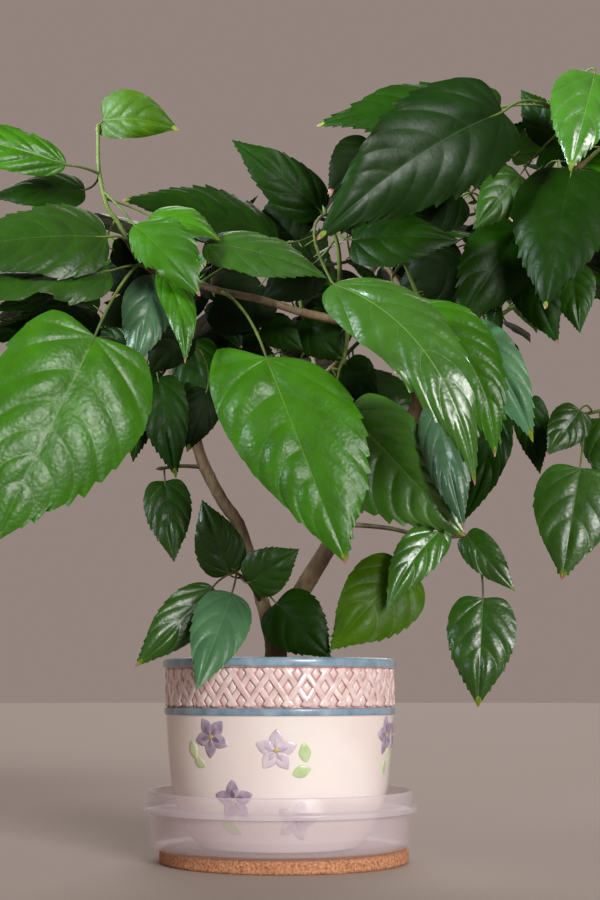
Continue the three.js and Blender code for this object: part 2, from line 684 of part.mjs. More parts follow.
function solid(geometry) {
  const vertProperties = new Float32Array(geometry.getAttribute('position').array);
  return new wasm.Manifold(new wasm.Mesh({
    numProp: 3, vertProperties, triVerts: new Uint32Array(geometry.getIndex().array),
  }));
}

function geometryOf(shape) {
  const mesh = shape.getMesh();
  const geometry = new THREE.BufferGeometry();
  geometry.setAttribute('position', new THREE.Float32BufferAttribute(mesh.vertProperties, 3));
  geometry.setIndex(Array.from(mesh.triVerts));
  return geometry;
}

// the largest piece, its sealed hollows filled
function largestPiece(shape) {
  const pieces = shape.decompose();
  return pieces.reduce((best, piece) => (piece.volume() > best.volume() ? piece : best));
}

function limbShape(name, grow = 0) {
  const limb = limbs[name];
  return solid(bentRod(limb.points.map(seen), limb.radii, limb.sides, limb.points.length * 2, grow));
}

function stalkShape(leaf, path) {
  const points = [...path, leafPoint(leaf, stalk.sunk, 0)];
  return solid(bentRod(points, [1.2, 1, 1, 0.3].map((share) => share * stalk.radius), stalk.sides, 3));
}

function stemShape(stem) {
  const points = stem.points.map(seen);
  return solid(bentRod(points, stem.radii, 4, Math.ceil(smooth(points).getLength() / rodStep.stem)));
}

function massShape(mass) {
  const shapes = mass.stems.map(stemShape);
  for (const { leaf, stalk: stalkRod } of mass.placed) {
    shapes.push(solid(leafShape(leaf)), stalkShape(leaf, stalkRod.path));
  }
  let shape = wasm.Manifold.union(shapes);
  for (const name of Object.keys(limbs)) {
    shape = shape.subtract(limbShape(name, clear));
  }
  return largestPiece(shape);
}

const group = new THREE.Group();

function addPiece(name, geometry, color, roughness = 0.6) {
  const mesh = new THREE.Mesh(geometry, new THREE.MeshStandardMaterial({ color, roughness, metalness: 0 }));
  mesh.name = name;
  group.add(mesh);
  return mesh;
}

function matProfile() {
  const { radius, thick, edge } = corkMat;
  return [
    [0, 0], [radius - edge, 0], [radius, edge], [radius, thick - edge], [radius - edge, thick], [0, thick],
  ];
}

function saucerProfile() {
  const { floor, wall, footRadius, wallRadius, lipRadius, lipLow, lipHigh } = saucer;
  const { rimRadius, height, round } = saucer;
  return [
    [0, 0], [footRadius, 0], [wallRadius - 1.2, round * 0.4], [wallRadius, round],
    [wallRadius + 0.5, lipLow - 1], [lipRadius, lipLow], [lipRadius, lipHigh - 1.5],
    [rimRadius, lipHigh], [rimRadius, height - 0.6], [rimRadius - 0.5, height],
    [rimRadius - wall + 0.4, height], [rimRadius - wall, height - 0.6],
    [wallRadius - wall + 0.5, lipLow - 2], [wallRadius - wall, round + 1],
    [footRadius - 1, floor], [0, floor],
  ];
}

function potOutside() {
  const p = pot;
  return [
    [p.footRadius, 0], [p.footRadius + 6, 6], [p.footRadius + 13, 18], [p.bellyRadius, p.bellyHeight],
    [p.bellyRadius + 2.8, p.bellyHeight + 26], [p.shoulderRadius, p.shoulderHeight],
    [p.shoulderRadius + 1.4, p.lowerRing], [p.shoulderRadius + 1.4, p.lowerRingTop],
    [p.bandRadius - 0.6, p.lowerRingTop + 0.6], [p.bandRadius + 0.2, p.bandTop - 0.6],
    [p.rimRadius, p.bandTop], [p.rimRadius, p.height - 1.5], [p.rimRadius - 1.5, p.height],
  ];
}

function potInside() {
  const p = pot;
  return [
    [p.rimRadius - p.wall + 1, p.height], [p.rimRadius - p.wall, p.height - 1.5],
    [p.bandRadius - p.wall, p.lowerRing], [p.bellyRadius - p.wall, p.bellyHeight],
    [p.footRadius + 13 - p.wall, 19], [p.footRadius - 2, p.base],
  ];
}

function soilProfile() {
  const top = pot.height - soil.below;
  const inside = potInside().slice(2).map(([r, z]) => [r - clear, z + clear]).reverse();
  const edgeRadius = pot.rimRadius - pot.wall - 1.9;
  return [
    [0, inside[0][1]], ...inside, [edgeRadius, top - soil.crown], [soil.flat + 26, top - 0.8],
    [soil.flat, top], [0, top],
  ];
}

const saucerHeight = corkMat.thick + clear;
const potHeight = saucerHeight + saucer.floor + clear;
const groundHeight = potHeight + pot.height - soil.below;

addPiece('cork_mat', turned(matProfile(), roundness), 0xd7966a, 0.9).position.set(corkMat.offset, 0, 0);
addPiece('saucer_tub', turned(saucerProfile(), roundness), 0xcfc8d8, 0.2).position.set(0, 0, saucerHeight);
addPiece('pot', turned([[0, 0], ...potOutside(), ...potInside(), [0, pot.base]], roundness), 0xf0ded6, 0.25)
  .position.set(0, 0, potHeight);
addPiece('soil', turned(soilProfile(), roundness), 0x2b201a, 1).position.set(0, 0, potHeight);

// the flat cut at soil level
function groundCut() {
  const block = new THREE.BoxGeometry(200, 200, 60);
  block.translate(0, 0, groundHeight + clear - 30);
  return solid(closedShape(block));
}

function addLimbs() {
  const order = Object.keys(limbs);
  order.forEach((name, number) => {
    let shape = limbShape(name);
    if (name === 'trunk') {
      shape = shape.subtract(groundCut());
    }
    for (const earlier of order.slice(0, number)) {
      shape = shape.subtract(limbShape(earlier, clear));
    }
    addPiece(name, geometryOf(largestPiece(shape)), 0x7d6654, 0.85);
  });
}

addLimbs();
layOut();
for (const [name, mass] of Object.entries(masses)) {
  addPiece(name, geometryOf(massShape(mass)), tones[mass.placed[0]?.leaf.tone ?? 'mid'], 0.4);
}
export default group;
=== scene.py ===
import math

import bmesh
import bpy
import numpy as np
from mathutils import Matrix, Vector, noise


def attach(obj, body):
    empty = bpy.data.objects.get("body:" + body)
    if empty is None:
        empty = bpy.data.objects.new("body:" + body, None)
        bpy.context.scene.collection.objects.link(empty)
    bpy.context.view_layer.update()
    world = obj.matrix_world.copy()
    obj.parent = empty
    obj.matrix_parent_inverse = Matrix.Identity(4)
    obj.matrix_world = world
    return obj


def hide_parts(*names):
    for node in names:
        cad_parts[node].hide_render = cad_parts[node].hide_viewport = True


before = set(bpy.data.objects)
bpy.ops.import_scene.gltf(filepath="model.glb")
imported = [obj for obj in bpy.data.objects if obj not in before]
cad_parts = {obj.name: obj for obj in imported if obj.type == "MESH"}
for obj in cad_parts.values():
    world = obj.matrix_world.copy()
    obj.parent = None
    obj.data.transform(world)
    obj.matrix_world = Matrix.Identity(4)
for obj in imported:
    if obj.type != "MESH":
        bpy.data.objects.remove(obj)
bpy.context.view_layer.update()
mm = 0.001
degree = math.pi / 180
scene = bpy.context.scene
collection = scene.collection


# the growing rule, in mm as in the part; places in the view are across, down and mm in front of the trunk
standpoint = {"eye": np.array([13.7, -1075, 114.6]), "pitch": 8.75, "reach": 1552, "across": 300, "down": 450}
blade = {"widest": 0.6, "full": 0.7, "taper": 0.3, "lobe": 0.07, "fold": 0.12, "curl": 0.24}
stalkForm = {"radius": 1.0, "bow": 0.42, "rise": 0.08, "behind": 0.35, "over": 6, "step": 5}
stemForm = {"step": 5, "bare": 3}
lineSamples, fineSamples = 201, 400
sheetShares = np.array([0.04, 0.18, 0.32, 0.46, 0.6, 0.74, 0.88, 0.98])
sheetPlaces = np.array([-1, -0.5, 0, 0.5, 1])
sheetGrid = (len(sheetShares), len(sheetPlaces))
# the gaps kept between leaves and rods
keep = {"sameMass": 1.6, "otherMass": 3.2, "rod": 1.2, "ownRod": 0.6, "stalkLess": 0.8, "edge": 1.5,
        "end": 0.02, "near": 0.6, "farther": 10, "fine": 0.55}
shifts = (0, 4, -4, 8, -8, 13, -13, 19, -19, 26, -26)
growth = {"attempts": 16, "turn": 137.5, "retryTurn": 53, "retryRank": 0.37, "shrink": 0.035, "spread": 0.82,
          "golden": 0.618, "stalk": (24, 46), "wide": (0.52, 0.62), "bend": (0.4, 0.8), "forward": 0.5,
          "away": 0.6, "lift": 0.2, "droop": (0.35, 1.1), "outward": 0.3, "look": (0.5, 0.9),
          "massSeeds": 1000, "leafSeeds": 20, "tones": ("deep", "mid", "mid", "glossy", "grey", "bright")}
upward = np.array([0.0, 0.0, 1.0])
sightAhead = np.array([0, math.cos(standpoint["pitch"] * degree), math.sin(standpoint["pitch"] * degree)])
sightUp = np.array([0, -math.sin(standpoint["pitch"] * degree), math.cos(standpoint["pitch"] * degree)])

# the crown's outline as it shows, the gaps in it, and how far it reaches
crown = {
    "centre": np.array([25, 15, 370]),
    "top": [(-120, 150), (-60, 108), (0, 180), (70, 205), (130, 208), (178, 190), (238, 206), (262, 180),
            (300, 178), (335, 186), (350, 160), (370, 115), (445, 92), (500, 115), (545, 112), (575, 70),
            (640, 55), (700, 100), (760, 200)],
    "low": [(-120, 430), (0, 470), (120, 425), (175, 420), (215, 388), (270, 375), (345, 420), (430, 455),
            (485, 440), (515, 385), (545, 318), (600, 300), (660, 420), (760, 380)],
    "windows": [(266, 308, 9, 15), (288, 305, 6, 14), (440, 270, 10, 11), (472, 206, 9, 11),
                (142, 253, 9, 10), (487, 283, 16, 30), (362, 347, 13, 14)],
    "left": -240, "right": 290, "back": 150, "inView": (-5, 605), "frontInView": 22, "frontBeside": 120,
}

# each limb's points as they show, and its radii in mm
limbs = {
    "trunk": {"points": [(274.5, 689, 0), (275, 674, 0), (276, 652, 0), (275, 630, 2)],
              "radii": [11.5, 8.6, 7.4, 7.5]},
    "left_stem": {"points": [(272, 640, 1), (262, 600, 2), (241, 530, 3), (222, 500, 4), (203, 463, 8),
                             (192, 425, 14), (172, 370, 22)],
                  "radii": [5.4, 4.8, 4.4, 4.3, 4.2, 3.8, 3.3]},
    "right_bough": {"points": [(277, 640, 1), (288, 614, 2), (327, 550, 4), (366, 490, 6), (410, 420, 8),
                               (462, 334, 12), (488, 300, 14)],
                    "radii": [6.4, 6.2, 5.7, 5.4, 5.0, 4.4, 4.0]},
    "upper_bough": {"points": [(488, 300, 14), (510, 264, 20), (526, 250, 26), (556, 200, 45)],
                    "radii": [3.9, 3.6, 3.3, 2.8]},
    "front_bough": {"points": [(418, 405, 8), (405, 352, 26), (376, 332, 44), (343, 322, 62), (300, 312, 82)],
                    "radii": [3.4, 3.2, 3.1, 3.0, 2.8]},
}

masses = {}


# a mass of leaves: its stems, the leaves set one by one, and the numbers for those that grow
def mass(name, stems, leaves=(), grow=None):
    masses[name] = {"stems": [{"points": p, "radii": r} for p, r in stems], "leaves": leaves, "grow": grow}


# a leaf that is set one by one; its traits only shape how it shows: pleats and base by side (+, -), a slant
# of its halves, and how wavy and how toothed its edge is
def wish(foot, tip, wide, turn, bend, tone, sway=0.0, skew=0.0, pleats=(1.0, 1.0), base=(0.8, 0.8), slant=0.0,
         wavy=1.0, teeth=1.0):
    trait = {"pleats": pleats, "base": base, "slant": slant, "wavy": wavy, "teeth": teeth}
    return {"foot": foot, "tip": tip, "wide": wide, "turn": turn, "bend": bend, "tone": tone, "sway": sway,
            "skew": skew, "trait": trait}


mass("leaves_front_left", [
    ([(300, 312, 82), (262, 300, 95), (220, 291, 110), (182, 279, 120), (155, 273, 130), (134, 252, 133),
      (118, 222, 135), (107, 206, 137), (99, 170, 139), (98, 132, 140)], (2.8, 1.1)),
], [
    wish((95, 336, 175), (-6, 542, 200), 95, 0, 0.35, "bright", skew=-0.06, pleats=(1.2, 1.0),
         base=(1.3, 1.1), teeth=0.75),
    wish((266, 357, 150), (347, 564, 175), 81, 0, 0.35, "bright", pleats=(2.2, 0.6), base=(1.7, 0.2),
         slant=0.35, teeth=0.6),
    wish((66, 165, 150), (-96, 130, 165), 36, 30, 0.6, "bright", base=(-0.6, -0.6)),
    wish((103, 121, 140), (179, 130, 146), 32, -12, 0.8, "young", sway=-0.05, skew=-0.2, base=(1.6, 1.6),
         wavy=1.6),
    wish((107, 237, 150), (-60, 255, 165), 64, 45, 0.5, "mid", base=(0.3, 0.3)),
    wish((110, 271, 155), (-40, 300, 172), 52, 55, 0.5, "mid", base=(0.3, 0.3), wavy=3),
    wish((85, 190, 124), (-10, 198, 130), 40, 55, 0.5, "deep", base=(0.3, 0.3)),
    wish((134, 225, 145), (200, 296, 162), 44, -15, 0.9, "olive", skew=-0.2, base=(-1.1, -1.1), wavy=3.2,
         pleats=(0.5, 0.5), teeth=2.0),
    wish((150, 216, 128), (220, 240, 136), 34, -50, 0.8, "bright", base=(0.3, 0.3)),
    wish((205, 243, 130), (327, 278, 150), 42, -45, 0.5, "polished", base=(-0.3, -0.3), pleats=(0.7, 0.7)),
    wish((162, 272, 145), (185, 363, 162), 22, -10, 0.6, "bright", sway=-0.07, base=(-0.4, -0.4), teeth=0.5),
    wish((157, 275, 136), (134, 370, 146), 34, 10, 0.5, "grey", base=(0.0, 0.0)),
], {"count": 6, "seed": 11, "long": (60, 100)})
mass("leaves_front_middle", [
    ([(343, 322, 62), (340, 290, 76), (338, 247, 92), (326, 214, 98)], (2.2, 1.1)),
], [
    wish((333, 284, 165), (475, 485, 195), 50, -15, 0.9, "lit", sway=-0.11, base=(0.0, -0.2),
         pleats=(1.4, 0.8), wavy=1.5),
    wish((352, 240, 112), (460, 241, 122), 44, -35, 0.5, "deep"),
], {"count": 5, "seed": 12, "long": (60, 90)})
mass("leaves_under_bough", [
    ([(348, 323, 61), (347, 340, 72), (344, 358, 84)], (2.0, 1.1)),
], [
    wish((348, 411, 105), (465, 536, 130), 68, 0, 0.5, "lit", skew=0.2, pleats=(1.7, 1.3)),
])
mass("leaves_front_right", [
    ([(450, 355, 11), (436, 330, 42), (418, 296, 74), (404, 262, 86)], (2.4, 1.1)),
    ([(436, 330, 42), (468, 348, 42), (498, 376, 48)], (1.8, 1.0)),
], [
    wish((398, 306, 112), (495, 457, 134), 52, -15, 0.9, "bright", sway=-0.13, base=(0.0, -0.2), wavy=1.5),
    wish((464, 328, 74), (533, 442, 86), 37, -10, 0.8, "sage", sway=-0.05),
    wish((438, 405, 118), (464, 529, 134), 31, 10, 0.6, "grey"),
    wish((490, 404, 56), (463, 522, 52), 31, 20, 0.5, "deep", sway=-0.1),
    wish((488, 338, 34), (498, 296, 38), 16, 0, 0.4, "mid"),
], {"count": 3, "seed": 13, "long": (50, 80)})
mass("leaves_top_right", [
    ([(556, 200, 45), (574, 172, 66), (578, 145, 84), (566, 128, 98), (552, 108, 104)], (2.7, 1.1)),
    ([(574, 172, 66), (612, 140, 74), (650, 120, 70)], (1.9, 1.0)),
    ([(570, 180, 62), (580, 208, 66), (566, 240, 62)], (1.7, 1.0)),
], [
    wish((503, 112, 130), (317, 240, 160), 72, 0, 0.5, "glossy", sway=0.05, pleats=(0.4, 0.4), wavy=1.3),
    wish((500, 108, 112), (316, 126, 104), 56, 50, 0.6, "deep"),
    wish((595, 74, 124), (570, 171, 140), 45, 0, 0.6, "lit", skew=0.08),
    wish((572, 170, 112), (545, 309, 126), 66, 10, 0.5, "deep"),
    wish((556, 140, 78), (521, 90, 72), 27, 0, 0.4, "deep"),
    wish((520, 175, 95), (473, 229, 104), 32, 0, 0.5, "mid"),
    wish((520, 228, 84), (456, 327, 90), 50, 0, 0.4, "deep"),
    wish((522, 262, 58), (558, 344, 66), 34, 0, 0.5, "deep"),
    wish((572, 268, 50), (580, 333, 58), 30, 10, 0.5, "mid"),
], {"count": 8, "seed": 14, "long": (60, 98)})
mass("leaves_low_right", [
    ([(412, 418, 8), (470, 424, 22), (534, 417, 36), (552, 421, 40), (590, 413, 48), (640, 402, 50)],
     (2.2, 1.0)),
], [
    wish((580, 410, 62), (547, 455, 68), 28, 0, 0.4, "mid"),
    wish((580, 468, 64), (562, 580, 74), 54, 0, 0.4, "polished", pleats=(0.8, 0.7)),
    wish((600, 418, 50), (614, 492, 60), 32, 0, 0.4, "mid"),
    wish((527, 398, 42), (540, 474, 36), 25, 0, 0.4, "deep"),
], {"count": 6, "seed": 15, "long": (45, 75)})
mass("leaves_base_shoot", [
    ([(262, 604, 2), (250, 584, 18), (236, 572, 30)], (1.8, 1.0)),
], [
    wish((229, 574, 30), (202, 500, 34), 34, 0, 0.4, "mid", base=(0.4, 0.4)),
    wish((249, 583, 28), (299, 549, 36), 33, 0, 0.4, "mid"),
    wish((213, 587, 40), (135, 667, 56), 35, 0, 0.4, "polished", base=(-0.5, -0.5)),
    wish((232, 593, 56), (196, 691, 92), 38, 0, 0.5, "sage", base=(0.2, 0.2)),
    wish((276, 603, 30), (331, 658, 44), 43, 0, 0.5, "deep"),
])
mass("leaves_low_shoot", [
    ([(345, 524, 5), (388, 528, 20), (430, 537, 34), (470, 536, 40)], (1.9, 1.0)),
], [
    wish((404, 566, 32), (330, 650, 46), 54, 0, 0.5, "ripe", skew=-0.1, base=(0.5, 0.5)),
    wish((441, 530, 44), (387, 609, 58), 30, 0, 0.4, "lit", sway=0.06),
    wish((466, 535, 42), (515, 591, 52), 24, 0, 0.4, "polished"),
    wish((483, 598, 48), (478, 707, 58), 46, 0, 0.4, "polished"),
])
mass("leaves_left_twig", [
    ([(203, 467, 8), (182, 466, 14), (164, 468, 18)], (1.6, 1.1)),
], [
    wish((165, 481, 22), (174, 562, 30), 33, 0, 0.4, "mid"),
])
mass("leaves_left_crown", [
    ([(172, 370, 22), (152, 318, 34), (120, 250, 46), (84, 215, 50)], (3.2, 1.2)),
    ([(152, 318, 34), (190, 290, 40), (232, 262, 36)], (1.9, 1.0)),
], [
    wish((158, 378, 44), (176, 478, 50), 34, 0, 0.5, "deep"),
    wish((146, 370, 30), (133, 462, 36), 32, 0, 0.5, "deep"),
    wish((192, 342, 30), (213, 429, 34), 36, 0, 0.5, "deep"),
    wish((216, 300, 60), (242, 348, 64), 24, 0, 0.4, "deep"),
], {"count": 14, "seed": 16, "long": (60, 100)})
mass("leaves_top_middle", [
    ([(448, 360, 11), (410, 300, 16), (372, 250, 24), (330, 222, 36), (292, 214, 44)], (2.8, 1.1)),
], [
    wish((278, 243, 66), (122, 200, 88), 60, 50, 0.5, "deep", sway=0.05, base=(0.4, 0.4)),
    wish((322, 212, 56), (232, 140, 66), 38, 20, 0.4, "deep", base=(0.3, 0.3)),
    wish((266, 322, 58), (303, 350, 62), 24, 0, 0.4, "deep"),
    wish((302, 318, 48), (346, 362, 54), 34, 0, 0.4, "deep"),
    wish((345, 364, 38), (378, 396, 44), 28, 0, 0.4, "deep"),
], {"count": 9, "seed": 17, "long": (64, 98)})
mass("leaves_left_back", [
    ([(196, 440, 10), (150, 395, -26), (110, 340, -62), (70, 285, -92)], (2.8, 1.1)),
    ([(150, 395, -26), (180, 330, -50), (205, 270, -72)], (1.9, 1.0)),
], grow={"count": 14, "seed": 18, "long": (75, 112)})
mass("leaves_middle_back", [
    ([(340, 530, 4), (330, 450, -34), (318, 380, -66), (300, 300, -92), (290, 240, -112)], (3.2, 1.1)),
    ([(318, 380, -66), (370, 330, -90), (405, 280, -112)], (1.9, 1.0)),
], grow={"count": 15, "seed": 19, "long": (75, 112)})
mass("leaves_right_back", [
    ([(432, 384, 9), (470, 340, -30), (510, 290, -66), (545, 240, -96)], (2.8, 1.1)),
    ([(470, 340, -30), (522, 302, -46), (586, 286, -44), (650, 300, -26)], (1.9, 1.0)),
], grow={"count": 16, "seed": 20, "long": (72, 108)})
mass("leaves_top_back", [
    ([(530, 244, 28), (500, 206, -10), (462, 174, -42), (424, 152, -70)], (2.4, 1.1)),
    ([(500, 206, -10), (560, 170, -40), (610, 150, -60)], (1.8, 1.0)),
], grow={"count": 14, "seed": 21, "long": (65, 104)})


finer = {}
# the finer leaves mostly take the dark tones; the darkest is painted shade for the inside of the crown
fineTones = ("deep", "dusk", "mid", "deep", "dusk", "glossy")


# finer twigs and leaves that carry a mass on within its reach
def carryOn(name, stems, count, seed, long, stalk, leaves=()):
    grow = {"count": count, "seed": seed, "long": long, "stalk": stalk, "tones": fineTones}
    finer[name] = {"stems": [{"points": p, "radii": r} for p, r in stems], "leaves": leaves, "grow": grow}


# most leaves set here get the darkest tone, painted shade for the inside of the crown
carryOn("leaves_front_left", [
    ([(182, 279, 120), (160, 284, 104), (128, 292, 96)], (1.3, 0.9)),
], 12, 41, (38, 66), (12, 26), [
    wish((150, 262, 104), (96, 288, 96), 34, 30, 0.5, "dusk"),
    wish((146, 302, 98), (100, 326, 104), 26, 20, 0.5, "dusk"),
    wish((112, 250, 130), (160, 262, 128), 20, 10, 0.5, "dusk"),
])
carryOn("leaves_front_middle", [
    ([(340, 290, 76), (318, 296, 60), (292, 300, 52)], (1.4, 0.9)),
], 10, 42, (36, 62), (12, 26), [
    wish((342, 300, 44), (296, 320, 38), 22, 20, 0.4, "dusk"),
    wish((316, 262, 84), (262, 300, 76), 38, 20, 0.5, "dusk"),
])
carryOn("leaves_top_right", [
    ([(556, 200, 45), (516, 196, 56), (476, 202, 60)], (1.5, 0.9)),
    ([(550, 214, 40), (506, 248, 44), (470, 262, 44)], (1.5, 0.9)),
], 16, 43, (38, 70), (12, 28), [
    wish((462, 196, 74), (400, 228, 68), 38, 20, 0.5, "dusk"),
    wish((464, 262, 54), (396, 292, 48), 44, 15, 0.5, "dusk"),
    wish((376, 148, 104), (328, 194, 110), 40, 10, 0.4, "dusk"),
])
carryOn("leaves_left_crown", [
    ([(152, 318, 34), (176, 330, 52), (198, 350, 60)], (1.4, 0.9)),
], 24, 44, (40, 72), (12, 28), [
    wish((262, 284, 60), (212, 334, 52), 44, 10, 0.5, "dusk"),
    wish((182, 328, 70), (150, 374, 64), 32, 0, 0.4, "dusk"),
    wish((207, 390, 34), (187, 452, 38), 28, 0, 0.4, "dusk"),
])
carryOn("leaves_top_middle", [
    ([(372, 250, 24), (346, 262, 12), (300, 268, 6)], (1.5, 0.9)),
], 22, 45, (40, 72), (12, 28), [
    wish((306, 206, 42), (252, 238, 36), 38, 25, 0.5, "dusk"),
])
carryOn("leaves_front_right", [
    ([(436, 330, 42), (430, 352, 30), (420, 380, 26)], (1.4, 0.9)),
], 12, 46, (38, 64), (12, 26))
carryOn("leaves_low_right", [
    ([(552, 421, 40), (566, 432, 28), (596, 446, 22)], (1.3, 0.9)),
], 5, 47, (34, 54), (10, 22))
carryOn("leaves_left_back", [
    ([(150, 395, -26), (118, 372, -30), (84, 352, -38)], (1.5, 0.9)),
], 34, 48, (44, 80), (14, 32))
carryOn("leaves_middle_back", [
    ([(318, 380, -66), (280, 352, -70), (252, 322, -76)], (1.5, 0.9)),
], 36, 49, (44, 80), (14, 32))
carryOn("leaves_right_back", [
    ([(470, 340, -30), (452, 300, -44), (446, 262, -52)], (1.5, 0.9)),
], 36, 50, (44, 80), (14, 32))
carryOn("leaves_top_back", [
    ([(500, 206, -10), (474, 214, -30), (440, 222, -46)], (1.5, 0.9)),
], 30, 51, (42, 76), (14, 30))


def unit(v):
    return v / np.linalg.norm(v, axis=-1, keepdims=True)


# the point seen at a place in the view, so many mm in front of the trunk's plane
def seen(place):
    across, down, out = place
    ray = sightAhead * standpoint["reach"] + sightUp * (standpoint["down"] - down)
    ray[0] += across - standpoint["across"]
    return ray * ((-out - standpoint["eye"][1]) / ray[1]) + standpoint["eye"]


# where points show in the view
def shown(points):
    ray = points - standpoint["eye"]
    scale = standpoint["reach"] / (ray @ sightAhead)
    return standpoint["across"] + ray[..., 0] * scale, standpoint["down"] - (ray @ sightUp) * scale


# a seeded run of even numbers between two bounds
def dice(seed):
    state = [seed]

    def draw(low, high):
        state[0] = (state[0] * 1664525 + 1013904223) % 4294967296
        return low + (high - low) * state[0] / 4294967296
    return draw


# a smooth line through points, as a function of shares
def smoothLine(points):
    knots = np.array(points, float)
    last = len(knots) - 1
    padded = np.vstack([2 * knots[0] - knots[1], knots, 2 * knots[-1] - knots[-2]])

    def at(shares):
        place = np.asarray(shares, float) * last
        low = np.minimum(np.floor(place).astype(int), last - 1)
        w = (place - low)[..., None]
        before, start, end, after = (padded[low + k] for k in range(4))
        out, into = 0.5 * (end - before), 0.5 * (after - start)
        return ((2 * start - 2 * end + out + into) * w ** 3 + (-3 * start + 3 * end - 2 * out - into) * w * w
                + out * w + start)
    return at


# length of a smooth line, and points along it about so many mm apart
def lineLength(line):
    return np.linalg.norm(np.diff(line(np.linspace(0, 1, lineSamples)), axis=0), axis=1).sum()


def evenSteps(line, step):
    return line(np.linspace(0, 1, max(2, math.ceil(lineLength(line) / step)) + 1))


# half of a leaf's width at a share of its length
def halfWidth(leaf, share):
    s = np.clip(share, 0, 1)
    around = np.maximum(np.sin(math.pi * s ** blade["widest"]), 0)
    return leaf["wide"] / 2 * around ** blade["full"] * (1 - blade["taper"] * s ** 3)


# height of the arched, folded sheet over the line from foot to tip
def sheetHeight(leaf, share, half, side):
    arch = leaf["radius"] * (np.cos(leaf["bend"] * (share - 0.5)) - np.cos(leaf["bend"] / 2))
    return arch + half * (blade["fold"] * np.abs(side) - blade["curl"] * side * side)


# how far the midrib swings sideways
def swing(leaf, share):
    return leaf["sway"] * leaf["length"] * 4 * share * (1 - share)


# the point of a leaf at a share of its length, from one edge (-1) to the other (1)
def leafPoint(leaf, share, side):
    half = halfWidth(leaf, share)
    run = (leaf["radius"] * (np.sin(leaf["bend"] * (share - 0.5)) + math.sin(leaf["bend"] / 2))
           - blade["lobe"] * leaf["length"] * side * side * (1 - share) ** 6)
    across = half * side * (1 + leaf["skew"] * np.sign(side)) + swing(leaf, share)
    lift = sheetHeight(leaf, share, half, side)
    return (leaf["foot"] + leaf["along"] * np.asarray(run)[..., None]
            + leaf["side"] * np.asarray(across)[..., None] + leaf["face"] * np.asarray(lift)[..., None])


# a leaf from its foot and tip, the way its face looks, its width and its arch
def makeLeaf(foot, tip, look, wide, bend, tone, sway=0.0, skew=0.0):
    along = tip - foot
    length = np.linalg.norm(along)
    along = along / length
    face = unit(look - along * (look @ along))
    leaf = {"foot": foot, "along": along, "face": face, "side": np.cross(along, face), "length": length,
            "radius": length / (2 * math.sin(bend / 2)), "wide": wide, "bend": bend, "tone": tone,
            "sway": sway, "skew": skew, "middle": foot + along * length / 2}
    leaf["grid"] = leafPoint(leaf, sheetShares[:, None], sheetPlaces[None, :])
    return leaf


# a leaf that is set one by one, moved so many mm nearer or farther
def setLeaf(want, shift):
    foot = seen((want["foot"][0], want["foot"][1], want["foot"][2] + shift))
    tip = seen((want["tip"][0], want["tip"][1], want["tip"][2] + shift))
    along = unit(tip - foot)
    look = unit(standpoint["eye"] - foot)
    look = unit(look - along * (look @ along))
    turn = want["turn"] * degree
    look = look * math.cos(turn) + np.cross(along, look) * math.sin(turn)
    leaf = makeLeaf(foot, tip, look, want["wide"], want["bend"], want["tone"], want["sway"], want["skew"])
    leaf["trait"] = want["trait"]
    return leaf


placedFields = {"foot": 3, "along": 3, "side": 3, "face": 3, "middle": 3, "length": 1, "radius": 1, "wide": 1,
                "bend": 1, "sway": 1, "skew": 1}


# leaves and rods placed so far, as arrays with room to spare
class Placed:
    def __init__(self, room=700, rodRoom=12000):
        self.count = self.points = 0
        self.fields = {name: np.zeros((room, size)) for name, size in placedFields.items()}
        self.grids = np.zeros((room, sheetGrid[0] * sheetGrid[1], 3))
        self.owner = np.zeros(room, int)
        self.path = np.zeros((rodRoom, 3))
        self.pathRadius = np.zeros(rodRoom)
        self.pathOwner = np.zeros(rodRoom, int)

    def addLeaf(self, leaf, owner):
        for name in placedFields:
            self.fields[name][self.count] = leaf[name]
        self.grids[self.count] = leaf["grid"].reshape(-1, 3)
        self.owner[self.count] = owner
        self.count += 1

    def addRod(self, path, radius, owner):
        span = slice(self.points, self.points + len(path))
        self.path[span] = path
        self.pathRadius[span] = radius
        self.pathOwner[span] = owner
        self.points += len(path)

    # the placed leaves in a mask, shaped to meet a row of points each
    def stack(self, mask):
        stacked = {}
        for name, size in placedFields.items():
            rows = self.fields[name][:self.count][mask]
            stacked[name] = rows[:, None, :] if size == 3 else rows
        return stacked


# how far points lie over a leaf's sheet, and whether they are within its outline
def over(leaf, points):
    offset = points - leaf["foot"]
    share = (offset * leaf["along"]).sum(-1) / leaf["length"]
    inside = np.clip(share, 0, 1)
    across = (offset * leaf["side"]).sum(-1) - swing(leaf, inside)
    half = halfWidth(leaf, share) * (1 + leaf["skew"] * np.sign(across))
    side = np.clip(across / np.maximum(half, 1e-6), -1, 1)
    within = (share > -keep["end"]) & (share < 1 + keep["end"]) & (np.abs(across) < half + keep["edge"])
    return (offset * leaf["face"]).sum(-1) - sheetHeight(leaf, inside, half, side), within


# whether a leaf is met by grids of points, each with its own gap
def gridMeets(leaf, grids, gap):
    height, within = over(leaf, grids)
    met = (within & (np.abs(height) < gap)).any(-1)
    shape = height.shape[:-1] + sheetGrid
    level = height.reshape(shape)
    corners = np.broadcast_to(grids, height.shape + (3,)).reshape(shape + (3,))
    for axis in (-2, -1):
        count = shape[axis]
        first, second = np.take(level, range(count - 1), axis), np.take(level, range(1, count), axis)
        start = np.take(corners, range(count - 1), axis - 1)
        end = np.take(corners, range(1, count), axis - 1)
        split = first * second < 0
        with np.errstate(divide="ignore", invalid="ignore"):
            share = np.where(split, first / (first - second), 0)[..., None]
        flat = height.shape[:-1] + (-1, 3)
        inside = over(leaf, (start + (end - start) * share).reshape(flat))[1]
        met |= (split.reshape(inside.shape) & inside).any(-1)
    return met


